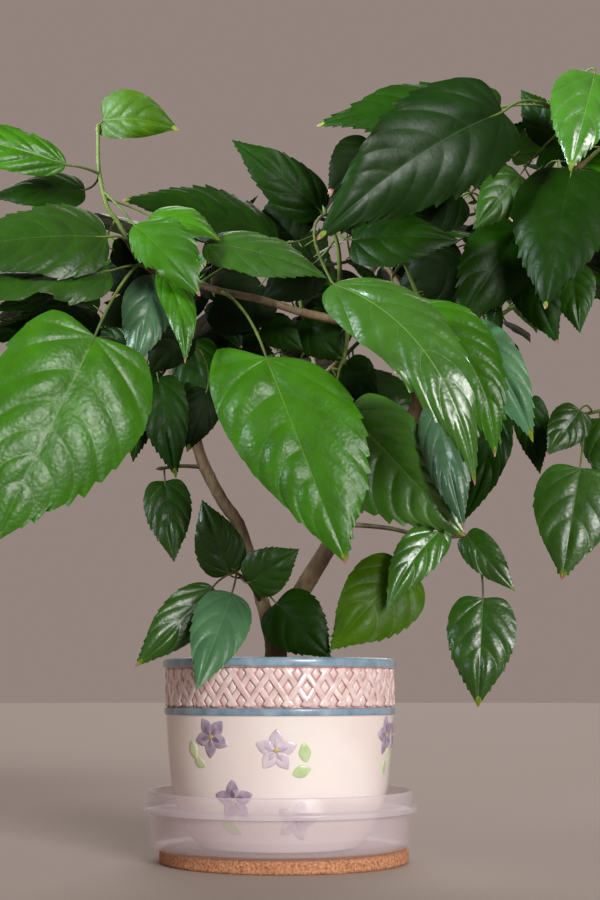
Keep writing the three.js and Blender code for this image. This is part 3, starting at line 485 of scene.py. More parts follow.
# whether a leaf and its stalk are clear of everything placed so far
def isClear(leaf, stalkPath, owner, placed, less=1.0):
    inner = stalkPath[1:-1]
    count = placed.count
    gaps = np.where(placed.owner[:count] == owner, keep["sameMass"], keep["otherMass"]) * less
    if count:
        every = placed.stack(slice(None))
        height, within = over(every, inner[None])
        room = stalkForm["radius"] + gaps[:, None] - keep["stalkLess"] * less
        if (within & (np.abs(height) < room)).any():
            return False
        apart = np.linalg.norm(placed.fields["middle"][:count] - leaf["middle"], axis=1)
        reach = (placed.fields["length"][:count, 0] + leaf["length"]) * keep["near"] + keep["farther"]
        near = apart <= reach
        if near.any():
            grids, gap = placed.grids[:count][near], gaps[near]
            if gridMeets(leaf, grids, gap[:, None]).any():
                return False
            if gridMeets(placed.stack(near), leaf["grid"].reshape(1, -1, 3), gap[:, None]).any():
                return False
    path, radius = placed.path[:placed.points], placed.pathRadius[:placed.points]
    own = placed.pathOwner[:placed.points] == owner
    height, within = over(leaf, path)
    room = radius + np.where(own, keep["ownRod"], keep["rod"]) * less
    if (within & (np.abs(height) < room)).any():
        return False
    apart = np.linalg.norm(path[~own][:, None] - inner[None], axis=2)
    room = (radius[~own] + stalkForm["radius"] + keep["rod"] * less)[:, None]
    return not (apart < room).any()


# whether a leaf stays in the crown's outline and out of its gaps
def isWithin(leaf):
    points = leaf["grid"].reshape(-1, 3)
    across, down = shown(points)
    inView = (across > crown["inView"][0]) & (across < crown["inView"][1])
    front = np.where(inView, crown["frontInView"], crown["frontBeside"])
    isOpen = np.zeros(len(points), bool)
    for x, y, wide, tall in crown["windows"]:
        isOpen |= ((across - x) / wide) ** 2 + ((down - y) / tall) ** 2 < 1
    top = np.interp(across, *zip(*crown["top"]))
    low = np.interp(across, *zip(*crown["low"]))
    kept = (~isOpen & (points[:, 0] > crown["left"]) & (points[:, 0] < crown["right"])
            & (points[:, 1] < crown["back"]) & (-points[:, 1] < front) & (down > top) & (down < low))
    return kept.all()


# the stalk's path: from the nearest fit place on the mass's stems, in a bow, to the leaf's foot
def makeStalk(leaf, stems):
    wished = leaf["foot"] - leaf["along"] * stalkForm["behind"] * leaf["length"] + upward * stalkForm["over"]
    node = stems[0]["path"][0]
    for stem in stems:
        for point in stem["path"][stem["bare"]:]:
            if np.linalg.norm(point - wished) < np.linalg.norm(node - wished):
                node = point
    reach = np.linalg.norm(node - leaf["foot"])
    turn = leaf["foot"] - leaf["along"] * stalkForm["bow"] * reach + upward * stalkForm["rise"] * reach
    w = np.linspace(0, 1, max(4, math.ceil(reach / stalkForm["step"])) + 1)[:, None]
    return (1 - w) ** 2 * node + 2 * (1 - w) * w * turn + w * w * leaf["foot"]


# the grown leaf of this number on a mass, at its try: round the stems by the golden angle
def grownLeaf(stems, grow, number, attempt):
    draw = dice(grow["seed"] * growth["massSeeds"] + number * growth["leafSeeds"] + attempt)
    stem = stems[number % len(stems)]["path"]
    rank = number // len(stems) + attempt * growth["retryRank"]
    share = 1 - growth["spread"] * ((rank * growth["golden"]) % 1)
    place = max(1, math.floor(share * (len(stem) - 1) + 0.5))
    node = stem[place]
    tangent = unit(node - stem[place - 1])
    sideways = unit(np.cross(tangent, upward))
    lifted = np.cross(sideways, tangent)
    angle = (number * growth["turn"] + attempt * growth["retryTurn"]) * degree
    out = sideways * math.cos(angle) + lifted * math.sin(angle)
    away = unit(node - crown["centre"])
    lean = unit(tangent * growth["forward"] + out + away * growth["away"] + upward * growth["lift"])
    foot = node + lean * draw(*grow.get("stalk", growth["stalk"]))
    length = draw(*grow["long"]) * (1 - growth["shrink"] * attempt)
    along = unit(lean - upward * draw(*growth["droop"]) + away * growth["outward"])
    look = upward * draw(*growth["look"]) + away * draw(*growth["look"])
    tones = grow.get("tones", growth["tones"])
    tone = tones[math.floor(draw(0, len(tones)))]
    wide = length * draw(*growth["wide"])
    return makeLeaf(foot, foot + along * length, look, wide, draw(*growth["bend"]), tone)


# every stem, leaf and stalk of the plant: set leaves, grown leaves, then the finer ones
def layOut():
    placed = Placed()
    for number, limb in enumerate(limbs.values()):
        path = evenSteps(smoothLine([seen(p) for p in limb["points"]]), stemForm["step"])
        placed.addRod(path, max(limb["radii"]), -1 - number)

    def addStems(one, owner):
        for stem in one["stems"]:
            stem["path"] = evenSteps(smoothLine([seen(p) for p in stem["points"]]), stemForm["step"])
            stem["bare"] = min(stemForm["bare"], len(stem["path"]) - 1)
            placed.addRod(stem["path"], stem["radii"][0], owner)

    def place(owner, one, attempts, less=1.0):
        for leaf in attempts:
            path = makeStalk(leaf, one["stems"])
            if isClear(leaf, path, owner, placed, less):
                one["placed"].append({"leaf": leaf, "stalk": path})
                placed.addLeaf(leaf, owner)
                placed.addRod(path, stalkForm["radius"], owner)
                return

    def growAll(some, less=1.0):
        for number in range(max(one["grow"]["count"] for _, one, _ in some)):
            for owner, one, home in some:
                if number < one["grow"]["count"]:
                    tries = (grownLeaf(one["stems"], one["grow"], number, attempt)
                             for attempt in range(growth["attempts"]))
                    place(owner, home, (leaf for leaf in tries if isWithin(leaf)), less)

    for owner, one in enumerate(masses.values()):
        addStems(one, owner)
        one["placed"] = []
    for owner, one in enumerate(masses.values()):
        for want in one["leaves"]:
            place(owner, one, (setLeaf(want, shift) for shift in shifts))
    growAll([(owner, one, one) for owner, one in enumerate(masses.values()) if one["grow"]])

    owners = {name: owner for owner, name in enumerate(masses)}
    carried = []
    for name, one in finer.items():
        addStems(one, owners[name])
        home = {"stems": masses[name]["stems"] + one["stems"], "placed": masses[name]["placed"]}
        one["stems"], masses[name]["stems"] = home["stems"], home["stems"]
        carried.append((owners[name], one, home))
        for want in one["leaves"]:
            place(owners[name], home, (setLeaf(want, shift) for shift in shifts), keep["fine"])
    growAll(carried, keep["fine"])
    return placed


placed = layOut()
print("rule:", placed.count, "leaves")


# a colour as it is seen, 0 to 255, turned into the renderer's light
def linear(*rgb):
    return tuple((c / 255 / 12.92) if c <= 10 else ((c / 255 + 0.055) / 1.055) ** 2.4 for c in rgb) + (1.0,)


def shade(color, factor):
    return tuple(min(1.0, c * factor) for c in color[:3]) + (1.0,)


def between(first, second, share):
    return tuple(a + (b - a) * share for a, b in zip(first, second))


# a material in the making: patterns in object coordinates, led into its shader
class Finish:
    def __init__(self, name, color, roughness=0.5, **sockets):
        self.material = bpy.data.materials.new(name)
        self.material.use_nodes = True
        self.nodes, self.links = self.material.node_tree.nodes, self.material.node_tree.links
        self.shader = self.nodes["Principled BSDF"]
        self.shader.inputs["Base Color"].default_value = color
        self.shader.inputs["Roughness"].default_value = roughness
        for socket, value in sockets.items():
            self.shader.inputs[socket.replace("_", " ")].default_value = value
        self.place = self.nodes.new("ShaderNodeTexCoord").outputs["Object"]

    def add(self, kind, **values):
        node = self.nodes.new("ShaderNode" + kind)
        for name, value in values.items():
            if name in node.inputs:
                node.inputs[name].default_value = value
            else:
                setattr(node, name, value)
        return node

    def pattern(self, kind="TexNoise", scale=100.0, stretch=(1, 1, 1), **values):
        spread = self.add("Mapping")
        spread.inputs["Scale"].default_value = stretch
        self.links.new(self.place, spread.inputs["Vector"])
        node = self.add(kind, Scale=scale, **values)
        self.links.new(spread.outputs["Vector"], node.inputs["Vector"])
        return node.outputs["Fac"] if "Fac" in node.outputs else node.outputs["Distance"]

    def ramp(self, level, stops):
        node = self.add("ValToRGB")
        elements = node.color_ramp.elements
        while len(elements) < len(stops):
            elements.new(0.5)
        for element, (at, color) in zip(elements, stops):
            element.position = at
            element.color = color
        self.links.new(level, node.inputs["Fac"])
        return node.outputs["Color"]

    def colored(self, output):
        self.links.new(output, self.shader.inputs["Base Color"])

    # a pattern's usual range spread between two numbers, into a shader socket
    def varied(self, level, socket, low, high):
        node = self.add("MapRange", **{"From Min": 0.3, "From Max": 0.7, "To Min": low, "To Max": high})
        self.links.new(level, node.inputs["Value"])
        self.links.new(node.outputs["Result"], self.shader.inputs[socket])

    def bumped(self, level, distance, strength=1.0, below=None):
        node = self.add("Bump", Distance=distance, Strength=strength)
        self.links.new(level, node.inputs["Height"])
        if below is not None:
            self.links.new(below.outputs["Normal"], node.inputs["Normal"])
        self.links.new(node.outputs["Normal"], self.shader.inputs["Normal"])
        return node


# a finish mottled between colours, each at its level of the pattern
def mottled(name, color, roughness, scale, stops, detail=2.0, **sockets):
    finish = Finish(name, linear(*color), roughness, **sockets)
    level = finish.pattern(scale=scale, Detail=detail)
    finish.colored(finish.ramp(level, [(at, linear(*rgb)) for at, rgb in stops]))
    return finish


# each tone is a leaf green, partly the leaves' own (young ones yellow-green, old ones darker) and partly
# painted light and shade: the lighter bright and lit tones go to leaves in the light and to some lying in a
# shadow, the deep one to leaves in the crown's shade, and the grey tone's cast is partly a painted sheen
leafTones = {
    "bright": {"color": (46, 95, 2), "vein": (90, 130, 28), "gloss": 0.3, "shine": 0.33, "grain": 0.42},
    "lit": {"color": (52, 98, 20), "vein": (100, 140, 52), "gloss": 0.25, "shine": 0.7},
    "polished": {"color": (38, 74, 12), "vein": (72, 106, 42), "gloss": 0.27, "shine": 0.5},
    "young": {"color": (43, 70, 0), "vein": (76, 102, 12), "gloss": 0.4, "shine": 0.14},
    "olive": {"color": (38, 82, 0), "vein": (72, 112, 12), "gloss": 0.34, "shine": 0.36},
    "ripe": {"color": (54, 86, 0), "vein": (82, 110, 14), "gloss": 0.38, "shine": 0.16},
    "sage": {"color": (70, 112, 74), "vein": (98, 136, 98), "gloss": 0.36, "shine": 0.34},
    "mid": {"color": (30, 62, 5), "vein": (60, 94, 28), "gloss": 0.31, "shine": 0.34},
    "deep": {"color": (17, 43, 1), "vein": (28, 55, 9), "gloss": 0.4, "shine": 0.1},
    "grey": {"color": (57, 90, 60), "vein": (84, 116, 82), "gloss": 0.3, "shine": 0.4},
    "glossy": {"color": (18, 44, 7), "vein": (44, 74, 27), "gloss": 0.28, "shine": 0.17, "grain": 0.08},
    # painted shade: a near-black green for the leaves deep inside the crown
    "dusk": {"color": (11, 24, 2), "vein": (16, 30, 6), "gloss": 0.5, "shine": 0.07},
}
leafFinish = {
    "mottle": {"scale": 55, "Detail": 3.0}, "dark": 0.82, "light": 1.2, "patches": 160,
    "rougher": (-0.04, 0.1), "swell": {"scale": 70, "Detail": 2.0}, "swellDeep": 0.0016, "net": 420,
    "netDeep": 0.0005, "grain": 0.3, "lightGloss": 0.03, "veinGloss": 0.45, "veinMottle": 220,
    "veinDark": 0.88, "veinShare": 0.3,
}


def leafMaterial(name, color, gloss, shine, grain):
    look = leafFinish
    finish = Finish(name, color, gloss, Specular_IOR_Level=shine)
    mottle = finish.pattern(**look["mottle"])
    stops = [(0.3, shade(color, look["dark"])), (0.52, color), (0.75, shade(color, look["light"]))]
    finish.colored(finish.ramp(mottle, stops))
    smoother, rougher = look["rougher"]
    finish.varied(finish.pattern(scale=look["patches"]), "Roughness", gloss + smoother, gloss + rougher)
    swell = finish.bumped(finish.pattern(**look["swell"]), look["swellDeep"], grain)
    net = finish.pattern("TexVoronoi", scale=look["net"], feature="SMOOTH_F1")
    finish.bumped(net, look["netDeep"], grain, swell).invert = True
    return finish.material


def veinMaterial(name, color, shine):
    finish = Finish(name, color, leafFinish["veinGloss"], Specular_IOR_Level=shine)
    level = finish.pattern(scale=leafFinish["veinMottle"])
    finish.colored(finish.ramp(level, [(0.35, shade(color, leafFinish["veinDark"])), (0.7, color)]))
    return finish.material


# the materials of each tone, in the order of the kinds of face that leafTemplate gives
materials = {}
for tone, look in leafTones.items():
    color, pale, gloss, shine = linear(*look["color"]), linear(*look["vein"]), look["gloss"], look["shine"]
    grain = look.get("grain", leafFinish["grain"])
    light, lightGloss = shade(color, leafFinish["light"]), gloss + leafFinish["lightGloss"]
    materials[tone] = [leafMaterial("leaf_" + tone, color, gloss, shine, grain),
                       leafMaterial("leaf_" + tone + "_light", light, lightGloss, shine, grain),
                       veinMaterial("midrib_" + tone, pale, shine),
                       veinMaterial("vein_" + tone, between(color, pale, leafFinish["veinShare"]), shine)]

yellowed = mottled("yellowed_tip", (96, 118, 24), 0.45, 240, [(0.35, (78, 104, 14)), (0.65, (118, 130, 34))],
                   Specular_IOR_Level=0.25)
dried = mottled("dried_tip", (138, 92, 76), 0.7, 500, [(0.3, (100, 60, 42)), (0.7, (170, 122, 106))])
plainFace, lightFace, midribFace, veinFace, driedFace, yellowedFace = range(6)


# the make of a leaf's sheet; each side vein is given by where it starts on the midrib and ends on the edge,
# and each tooth by its tip's place, all as shares of the length
leafForm = {
    "veins": ((0.0, 0.12), (0.01, 0.3), (0.19, 0.47), (0.335, 0.61), (0.475, 0.73), (0.605, 0.83),
              (0.725, 0.91)),
    "fewVeins": ((0.0, 0.14), (0.02, 0.4), (0.25, 0.6), (0.46, 0.78)), "small": 92, "smallTeeth": 0.75,
    "teeth": (0.14, 0.235, 0.325, 0.41, 0.5, 0.575, 0.655, 0.72, 0.785, 0.845, 0.895, 0.94),
    "rootRows": (0.015, 0.04, 0.08, 0.14, 0.22, 0.34, 0.5, 0.7),
    "veinHalf": 0.009, "veinRoom": 0.03, "veinEnd": 0.97, "forward": 1.5,
    "rib": (0.31, 0.1), "ribLength": 140, "paleRib": 0.62,
    "quilt": 0.055, "quiltRound": 0.8, "ribFlat": 0.22, "edgeFlat": 0.6, "calm": 0.4,
    "pleats": 4, "pleat": 0.0014, "pleatFrom": (0.3, 0.4),
    "swellDice": (7.31, 2.9, 3, 91.7), "swellLeast": 0.5,
    "tooth": 0.025, "toothForward": 0.019, "toothSink": 0.55, "valley": 0.16, "toothBand": (0.8, 0.2, 1.5),
    "toothFrom": 0.2, "toothStart": (0.1, 0.12, 0.15), "toothEnd": (0.985, 0.05),
    "toothDice": (12.99, 3.7, 5, 43.75), "toothSizes": (1.9, 0.25, 0.1, 1.5),
    "ruffles": ((0.013, 3, 10, 1, 1.3), (0.006, 5, 23, 2, -1)), "dent": (0.009, 7, 2.5, 3),
    "smooth": {"young": 0.2, "dusk": 0.7}, "lobe": 0.085, "lobeFrom": 0.06, "waist": 0.5, "slantFrom": 0.3,
    "tipNarrow": 0.4, "tipFrom": 0.6, "tipHalf": 0.3, "dryFrom": 0.82, "yellowRows": 1,
}


# a leaf's half width as it shows: rounded or narrow at its base, slim toward its tip
def shownHalf(leaf, share, base):
    f = leafForm
    s = np.clip(share, 0, 1)
    half = halfWidth(leaf, s) * (1 + f["waist"] * np.minimum(base, 0) * (1 - s) ** 3)
    return half * (1 - f["tipNarrow"] * np.clip((s - f["tipFrom"]) / (1 - f["tipFrom"]), 0, 1) ** 2)


# rows run from the midrib out along the side veins, columns from edge to edge
def leafTemplate(widest, columns, veins):
    form = leafForm
    roots = np.array([0.0] + [v[0] for v in veins] + [1.0])
    ends = np.array([0.0] + [v[1] for v in veins] + [1.0])
    last = len(ends) - 1
    cells = range(last + 1)
    teeth = np.interp(form["teeth"], ends, cells)
    marks = {round(float(t), 4) for t in teeth} | {0.0, float(last), last - 1 + form["dryFrom"]}
    marks |= set(form["rootRows"])
    marks |= {round(float(t + form["valley"] * (after - t)), 4)
              for t, after in zip(teeth, [*teeth[1:], last])}
    marks = {m for m in marks if abs(m - round(m)) > form["veinRoom"] or m in (0, last)}
    marks |= {k + way * form["veinHalf"] for k in range(1, last) for way in (-1, 1)}
    marks = sorted(marks)
    u = []
    for low, high in zip(marks, marks[1:]):
        cuts = max(1, math.ceil((high - low) / widest))
        u += [low + (high - low) * k / cuts for k in range(cuts)]
    u = np.array(u + marks[-1:])
    fromVein = np.abs(u[:-1] + form["veinHalf"] - np.round(u[:-1]))
    strip = np.isclose(np.diff(u), 2 * form["veinHalf"], atol=1e-6) & (fromVein < 1e-6)
    v = np.array([-c for c in reversed(columns)] + list(columns))
    sign = np.array([-1.0] * len(columns) + [1.0] * len(columns))
    bm = bmesh.new()
    bmesh.ops.create_grid(bm, x_segments=len(v) - 1, y_segments=len(u) - 1, size=1)
    col = np.array([round((p.co.x + 1) / 2 * (len(v) - 1)) for p in bm.verts])
    row = np.array([round((p.co.y + 1) / 2 * (len(u) - 1)) for p in bm.verts])
    faces = np.array([[p.index for p in f.verts] for f in bm.faces])
    bm.free()
    out = np.abs(v[col])

    def reach(at):
        root = np.interp(at, cells, roots)
        return root + (np.interp(at, cells, ends) - root) * out ** form["forward"]

    # quilting: each cell between two veins bulges, less by the midrib, the edge and the tip
    at = u[row]
    end = np.interp(at, cells, ends)
    cell = np.clip(np.floor(at), 0, last - 1)
    phase, spacing = at - cell, reach(cell + 1) - reach(cell)
    pleatStart, pleatGrow = form["pleatFrom"]
    pleat = np.cos(2 * math.pi * form["pleats"] * phase) * np.clip((out - pleatStart) / pleatGrow, 0, 1)
    nearRib = (np.clip(out / form["ribFlat"], 0, 1) * (1 - form["edgeFlat"] * out ** 4)
               * np.clip((1 - reach(at)) / form["calm"], 0, 1))
    bulge = spacing * (np.sin(math.pi * phase) ** form["quiltRound"] * nearRib
                       + pleat * form["pleat"] / form["quilt"])

    # teeth: each rises slowly and falls off in its valley
    after = np.clip(np.searchsorted(teeth, at - 1e-4), 0, len(teeth))
    high = np.append(teeth, last)[after]
    low = np.insert(teeth, 0, 0.0)[after]
    rise = (at - low) / (high - low)
    valley = form["valley"]
    tooth = np.where(rise < valley, 1 - rise / valley, (rise - valley) / (1 - valley))
    before, grow, least = form["toothStart"]
    stop, fade = form["toothEnd"]
    size = (np.clip((end - form["toothFrom"] + before) / grow, least, 1) * np.clip((stop - end) / fade, 0, 1))
    inner, band, power = form["toothBand"]
    edge = np.clip((out - inner) / band, 0, 1) ** power

    faceCol, faceRow = col[faces].min(1), row[faces].min(1)
    kind = np.full(len(faces), plainFace)
    outer = np.maximum(np.abs(v[faceCol]), np.abs(v[np.minimum(faceCol + 1, len(v) - 1)]))
    kind[strip[faceRow] & (outer < form["veinEnd"])] = veinFace
    isRib = faceCol == len(columns) - 1
    isPale = np.interp(u[faceRow], cells, roots) < form["paleRib"]
    kind[isRib] = np.where(isPale, midribFace, veinFace)[isRib]
    kind[faceRow >= len(u) - 2 - form["yellowRows"]] = yellowedFace
    kind[faceRow == len(u) - 2] = driedFace
    return {"share": reach(at), "out": out, "sign": sign[col], "bulge": bulge, "end": end,
            "tooth": (tooth - form["toothSink"]) * size * edge, "forward": tooth * size * edge,
            "number": after, "cell": cell, "faces": faces, "kind": kind}


closeColumns = (0, 0.06, 0.15, 0.26, 0.38, 0.5, 0.62, 0.73, 0.83, 0.92, 1)
plainColumns = (0, 0.2, 0.42, 0.66, 0.86, 1)
templates = {
    "close": leafTemplate(0.13, closeColumns, leafForm["veins"]),
    "closeSmall": leafTemplate(0.1, closeColumns, leafForm["fewVeins"]),
    "plain": leafTemplate(0.3, plainColumns, leafForm["veins"]),
    "plainSmall": leafTemplate(0.24, plainColumns, leafForm["fewVeins"]),
}


# an uneven number from 0 to 1 for each cell or tooth, by its number, its side and the leaf's phase
def uneven(number, sign, phase, steps):
    byNumber, bySide, byPhase, spread = steps
    return np.sin(number * byNumber + sign * bySide + phase * byPhase) * spread % 1


# the corners of a leaf's own sheet, with veins, pleats, teeth and a waved edge
def leafSheet(leaf, form, draw):
    f = leafForm
    trait = leaf.get("trait") or {"pleats": (draw(0.6, 1.25), draw(0.6, 1.25)),
                                  "base": (draw(0.2, 1), draw(0.2, 1)), "slant": 0, "wavy": 1, "teeth": 1}
    s, out, sign = form["share"], form["out"], form["sign"]
    length, phase = leaf["length"], draw(0, 2 * math.pi)
    base = np.where(sign > 0, *trait["base"])
    plain = shownHalf(leaf, s, base)
    half = np.maximum(plain, f["tipHalf"] * out)
    rib = (f["rib"][0] + (f["rib"][1] - f["rib"][0]) * s) * min(1.0, length / f["ribLength"])
    stretch, less, least, most = f["toothSizes"]
    size = np.clip(stretch * uneven(form["number"], sign, phase, f["toothDice"]) - less, least, most)
    size = size * f["smooth"].get(leaf["tone"], 1.0) * trait["teeth"] * math.sqrt(length * leaf["wide"])
    size = size * (1 if length > f["small"] else f["smallTeeth"])
    tooth = f["tooth"] * form["tooth"] * size
    across = sign * (rib * (1 - out) + (half * out + tooth) * (1 + leaf["skew"] * sign))
    lobe = (f["lobe"] * np.maximum(base, 0) * length * out * out * (1 - s) ** 4
            * np.clip(form["end"] / f["lobeFrom"], 0, 1) ** 0.5)
    run = (leaf["radius"] * (np.sin(leaf["bend"] * (s - 0.5)) + math.sin(leaf["bend"] / 2)) - lobe
           + f["toothForward"] * form["forward"] * size
           - trait["slant"] * across * np.clip((1 - s) / f["slantFrom"], 0, 1))
    ruffle = 0
    for deep, power, turns, byPhase, bySide in f["ruffles"]:
        ruffle = ruffle + deep * out ** power * np.sin(s * turns + phase * byPhase + sign * bySide)
    deep, turns, byOut, byPhase = f["dent"]
    dent = deep * np.sin(s * turns + sign * out * byOut + phase * byPhase) * out
    wave = length * trait["wavy"] * np.sin(math.pi * np.clip(s, 0, 1)) * (ruffle + dent)
    swell = f["swellLeast"] + uneven(form["cell"], sign, phase, f["swellDice"])
    puff = np.where(sign > 0, *trait["pleats"]) * f["quilt"] * length * form["bulge"] * swell
    lift = sheetHeight(leaf, s, plain, sign * out) + puff + wave
    across = across + swing(leaf, s)
    return (leaf["foot"] + leaf["along"] * run[:, None] + leaf["side"] * across[:, None]
            + leaf["face"] * lift[:, None])


# a mesh from corners in mm, and faces that all have as many corners
def arrayMesh(name, corners, faces, kinds, mats):
    mesh = bpy.data.meshes.new(name)
    mesh.vertices.add(len(corners))
    mesh.vertices.foreach_set("co", (corners * mm).astype(np.float32).ravel())
    mesh.loops.add(faces.size)
    mesh.loops.foreach_set("vertex_index", faces.astype(np.int32).ravel())
    mesh.polygons.add(len(faces))
    mesh.polygons.foreach_set("loop_start", np.arange(0, faces.size, faces.shape[1], dtype=np.int32))
    mesh.polygons.foreach_set("loop_total", np.full(len(faces), faces.shape[1], np.int32))
    mesh.polygons.foreach_set("material_index", kinds.astype(np.int32))
    mesh.polygons.foreach_set("use_smooth", np.ones(len(faces), bool))
    mesh.update()
    mesh.validate()
    for m in mats:
        mesh.materials.append(m)
    return mesh


# a finished piece: it rides on the body and stands for the solids named
def newPiece(name, mesh, slotName, *nodes):
    obj = bpy.data.objects.new(name, mesh)
    collection.objects.link(obj)
    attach(obj, "root")
    if nodes:
        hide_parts(*nodes)
    return obj


# the crown's far side isn't shaded by the leaves in front, so it is a little lighter
behind = {"from": 70, "tones": {"dusk": "mid", "deep": "mid"}}
# shares of the leaves with a dried or a yellow tip and with the plain shade; the large set ones have both
leafMarks = {"large": 90, "dried": 0.3, "yellow": 0.5, "yellowDark": 0.2, "plain": 0.6,
             "darkTones": ("deep", "dusk", "mid", "glossy"), "seeds": (1000, 99991)}


def leafPieces():
    groups = {}
    seedScale, seedCount = leafMarks["seeds"]
    for name, one in masses.items():
        for number, entry in enumerate(one["placed"]):
            leaf = entry["leaf"]
            isSet = number < len(one["leaves"])
            isBehind = not isSet and leaf["foot"][1] > behind["from"]
            tone = behind["tones"].get(leaf["tone"], leaf["tone"]) if isBehind else leaf["tone"]
            group = groups.setdefault(tone, {"corners": [], "faces": [], "kinds": [], "nodes": set(), "n": 0})
            isSmall = leaf["length"] <= leafForm["small"]
            form = templates[("close" if isSet else "plain") + ("Small" if isSmall else "")]
            draw = dice(int(abs(leaf["foot"]).sum() * seedScale) % seedCount)
            corners = leafSheet(leaf, form, draw)
            kinds = form["kind"].copy()
            isLarge = isSet and leaf["length"] > leafMarks["large"]
            if not isLarge and draw(0, 1) > leafMarks["dried"]:
                kinds[kinds == driedFace] = yellowedFace
            yellow = leafMarks["yellowDark" if tone in leafMarks["darkTones"] else "yellow"]
            if not isLarge and draw(0, 1) > yellow:
                kinds[kinds == yellowedFace] = plainFace
            kinds[kinds == plainFace] = lightFace if draw(0, 1) > leafMarks["plain"] else plainFace
            group["corners"].append(corners)
            group["faces"].append(form["faces"] + group["n"])
            group["kinds"].append(kinds)
            group["n"] += len(corners)
            group["nodes"].add(name)
    for tone, group in groups.items():
        corners, faces = np.concatenate(group["corners"]), np.concatenate(group["faces"])
        mats = materials[tone] + [dried.material, yellowed.material]
        mesh = arrayMesh("leaves_" + tone, corners, faces, np.concatenate(group["kinds"]), mats)
        newPiece("leaves_" + tone, mesh, "foliage", *sorted(group["nodes"]))
        print("leaves:", tone, len(faces) * 2, "triangles")


leafPieces()


bark = Finish("bark", linear(112, 90, 72), 0.82)
barkStreak = bark.pattern(scale=260, stretch=(1, 1, 0.25), Detail=6.0)
barkPatch = bark.pattern(scale=45, Detail=3.0)
barkRamp = bark.ramp(barkPatch, [(0.32, linear(88, 64, 44)), (0.5, linear(122, 100, 73)),
                                 (0.7, linear(152, 132, 104))])
# the streaks darken the patches; a Mix node of colours takes them in at 6 and 7 and gives its result at 2
barkShade = bark.add("Mix", data_type="RGBA", blend_type="MULTIPLY")
barkShade.inputs[0].default_value = 0.55
bark.links.new(barkRamp, barkShade.inputs[6])
bark.links.new(bark.ramp(barkStreak, [(0.3, (0.35, 0.3, 0.27, 1)), (0.6, (1, 1, 1, 1))]), barkShade.inputs[7])
bark.colored(barkShade.outputs[2])
bark.bumped(barkStreak, 0.0006, 0.8)

twigWood = mottled("twig_wood", (118, 104, 72), 0.65, 180, [(0.3, (92, 76, 52)), (0.65, (140, 124, 92))], 4.0)
twigWood.bumped(twigWood.pattern(scale=700), 0.0003, 0.6)
greenStalk = mottled("green_stalk", (74, 92, 36), 0.5, 90, [(0.3, (62, 74, 32)), (0.7, (94, 112, 46))],
                     Specular_IOR_Level=0.25)

groundHeight = 120.5
barkForm = {"step": 4.0, "sides": 4, "voxel": 0.8, "smooth": 0.5, "relief": 0.3, "furrow": (0.32, 0.07),
            "knob": 0.11, "knobShare": 0.7, "ring": 0.35, "ringEvery": 27.0, "ringAt": 6, "ringWide": 1.4,
            "ringLean": 0.3}
twigForm = {"step": 2.5, "greenFrom": 1.75, "sides": 2, "knots": 6.0,
            "stalkRadii": (1.25, 0.95, 0.85, 0.9, 0.35), "stalkEnd": (0.1, 0.5), "least": 0.6, "fullAt": 350}


# tubes along lines of points with a radius at each, as one mesh
def tubeMesh(name, runs, resolution):
    curve = bpy.data.curves.new(name, "CURVE")
    curve.dimensions = "3D"
    curve.bevel_depth = 1.0
    curve.bevel_resolution = resolution
    curve.use_fill_caps = True
    for path, radii in runs:
        spline = curve.splines.new("POLY")
        spline.points.add(len(path) - 1)
        spline.points.foreach_set("co", np.hstack([path * mm, np.ones((len(path), 1))]).ravel())
        spline.points.foreach_set("radius", np.asarray(radii, float) * mm)
    holder = bpy.data.objects.new(name, curve)
    collection.objects.link(holder)
    mesh = bpy.data.meshes.new_from_object(holder.evaluated_get(bpy.context.evaluated_depsgraph_get()))
    bpy.data.objects.remove(holder)
    bpy.data.curves.remove(curve)
    mesh.name = name
    return mesh


# points evenly spaced along a smooth line, and their shares of its length
def evenPath(line, step):
    fine = line(np.linspace(0, 1, fineSamples))
    along = np.concatenate([[0], np.cumsum(np.linalg.norm(np.diff(fine, axis=0), axis=1))])
    count = max(3, math.ceil(along[-1] / step))
    stops = np.linspace(0, along[-1], count + 1)
    return np.stack([np.interp(stops, along, fine[:, k]) for k in range(3)], 1), stops / along[-1]


# points evenly spaced along a broken line, from its first to its last
def evenKnots(path, step):
    along = np.concatenate([[0], np.cumsum(np.linalg.norm(np.diff(path, axis=0), axis=1))])
    stops = np.linspace(0, along[-1], max(3, math.ceil(along[-1] / step) + 1))
    return np.stack([np.interp(stops, along, path[:, k]) for k in range(3)], 1)


def radiiAlong(shares, radii):
    return np.interp(shares, np.linspace(0, 1, len(radii)), radii)


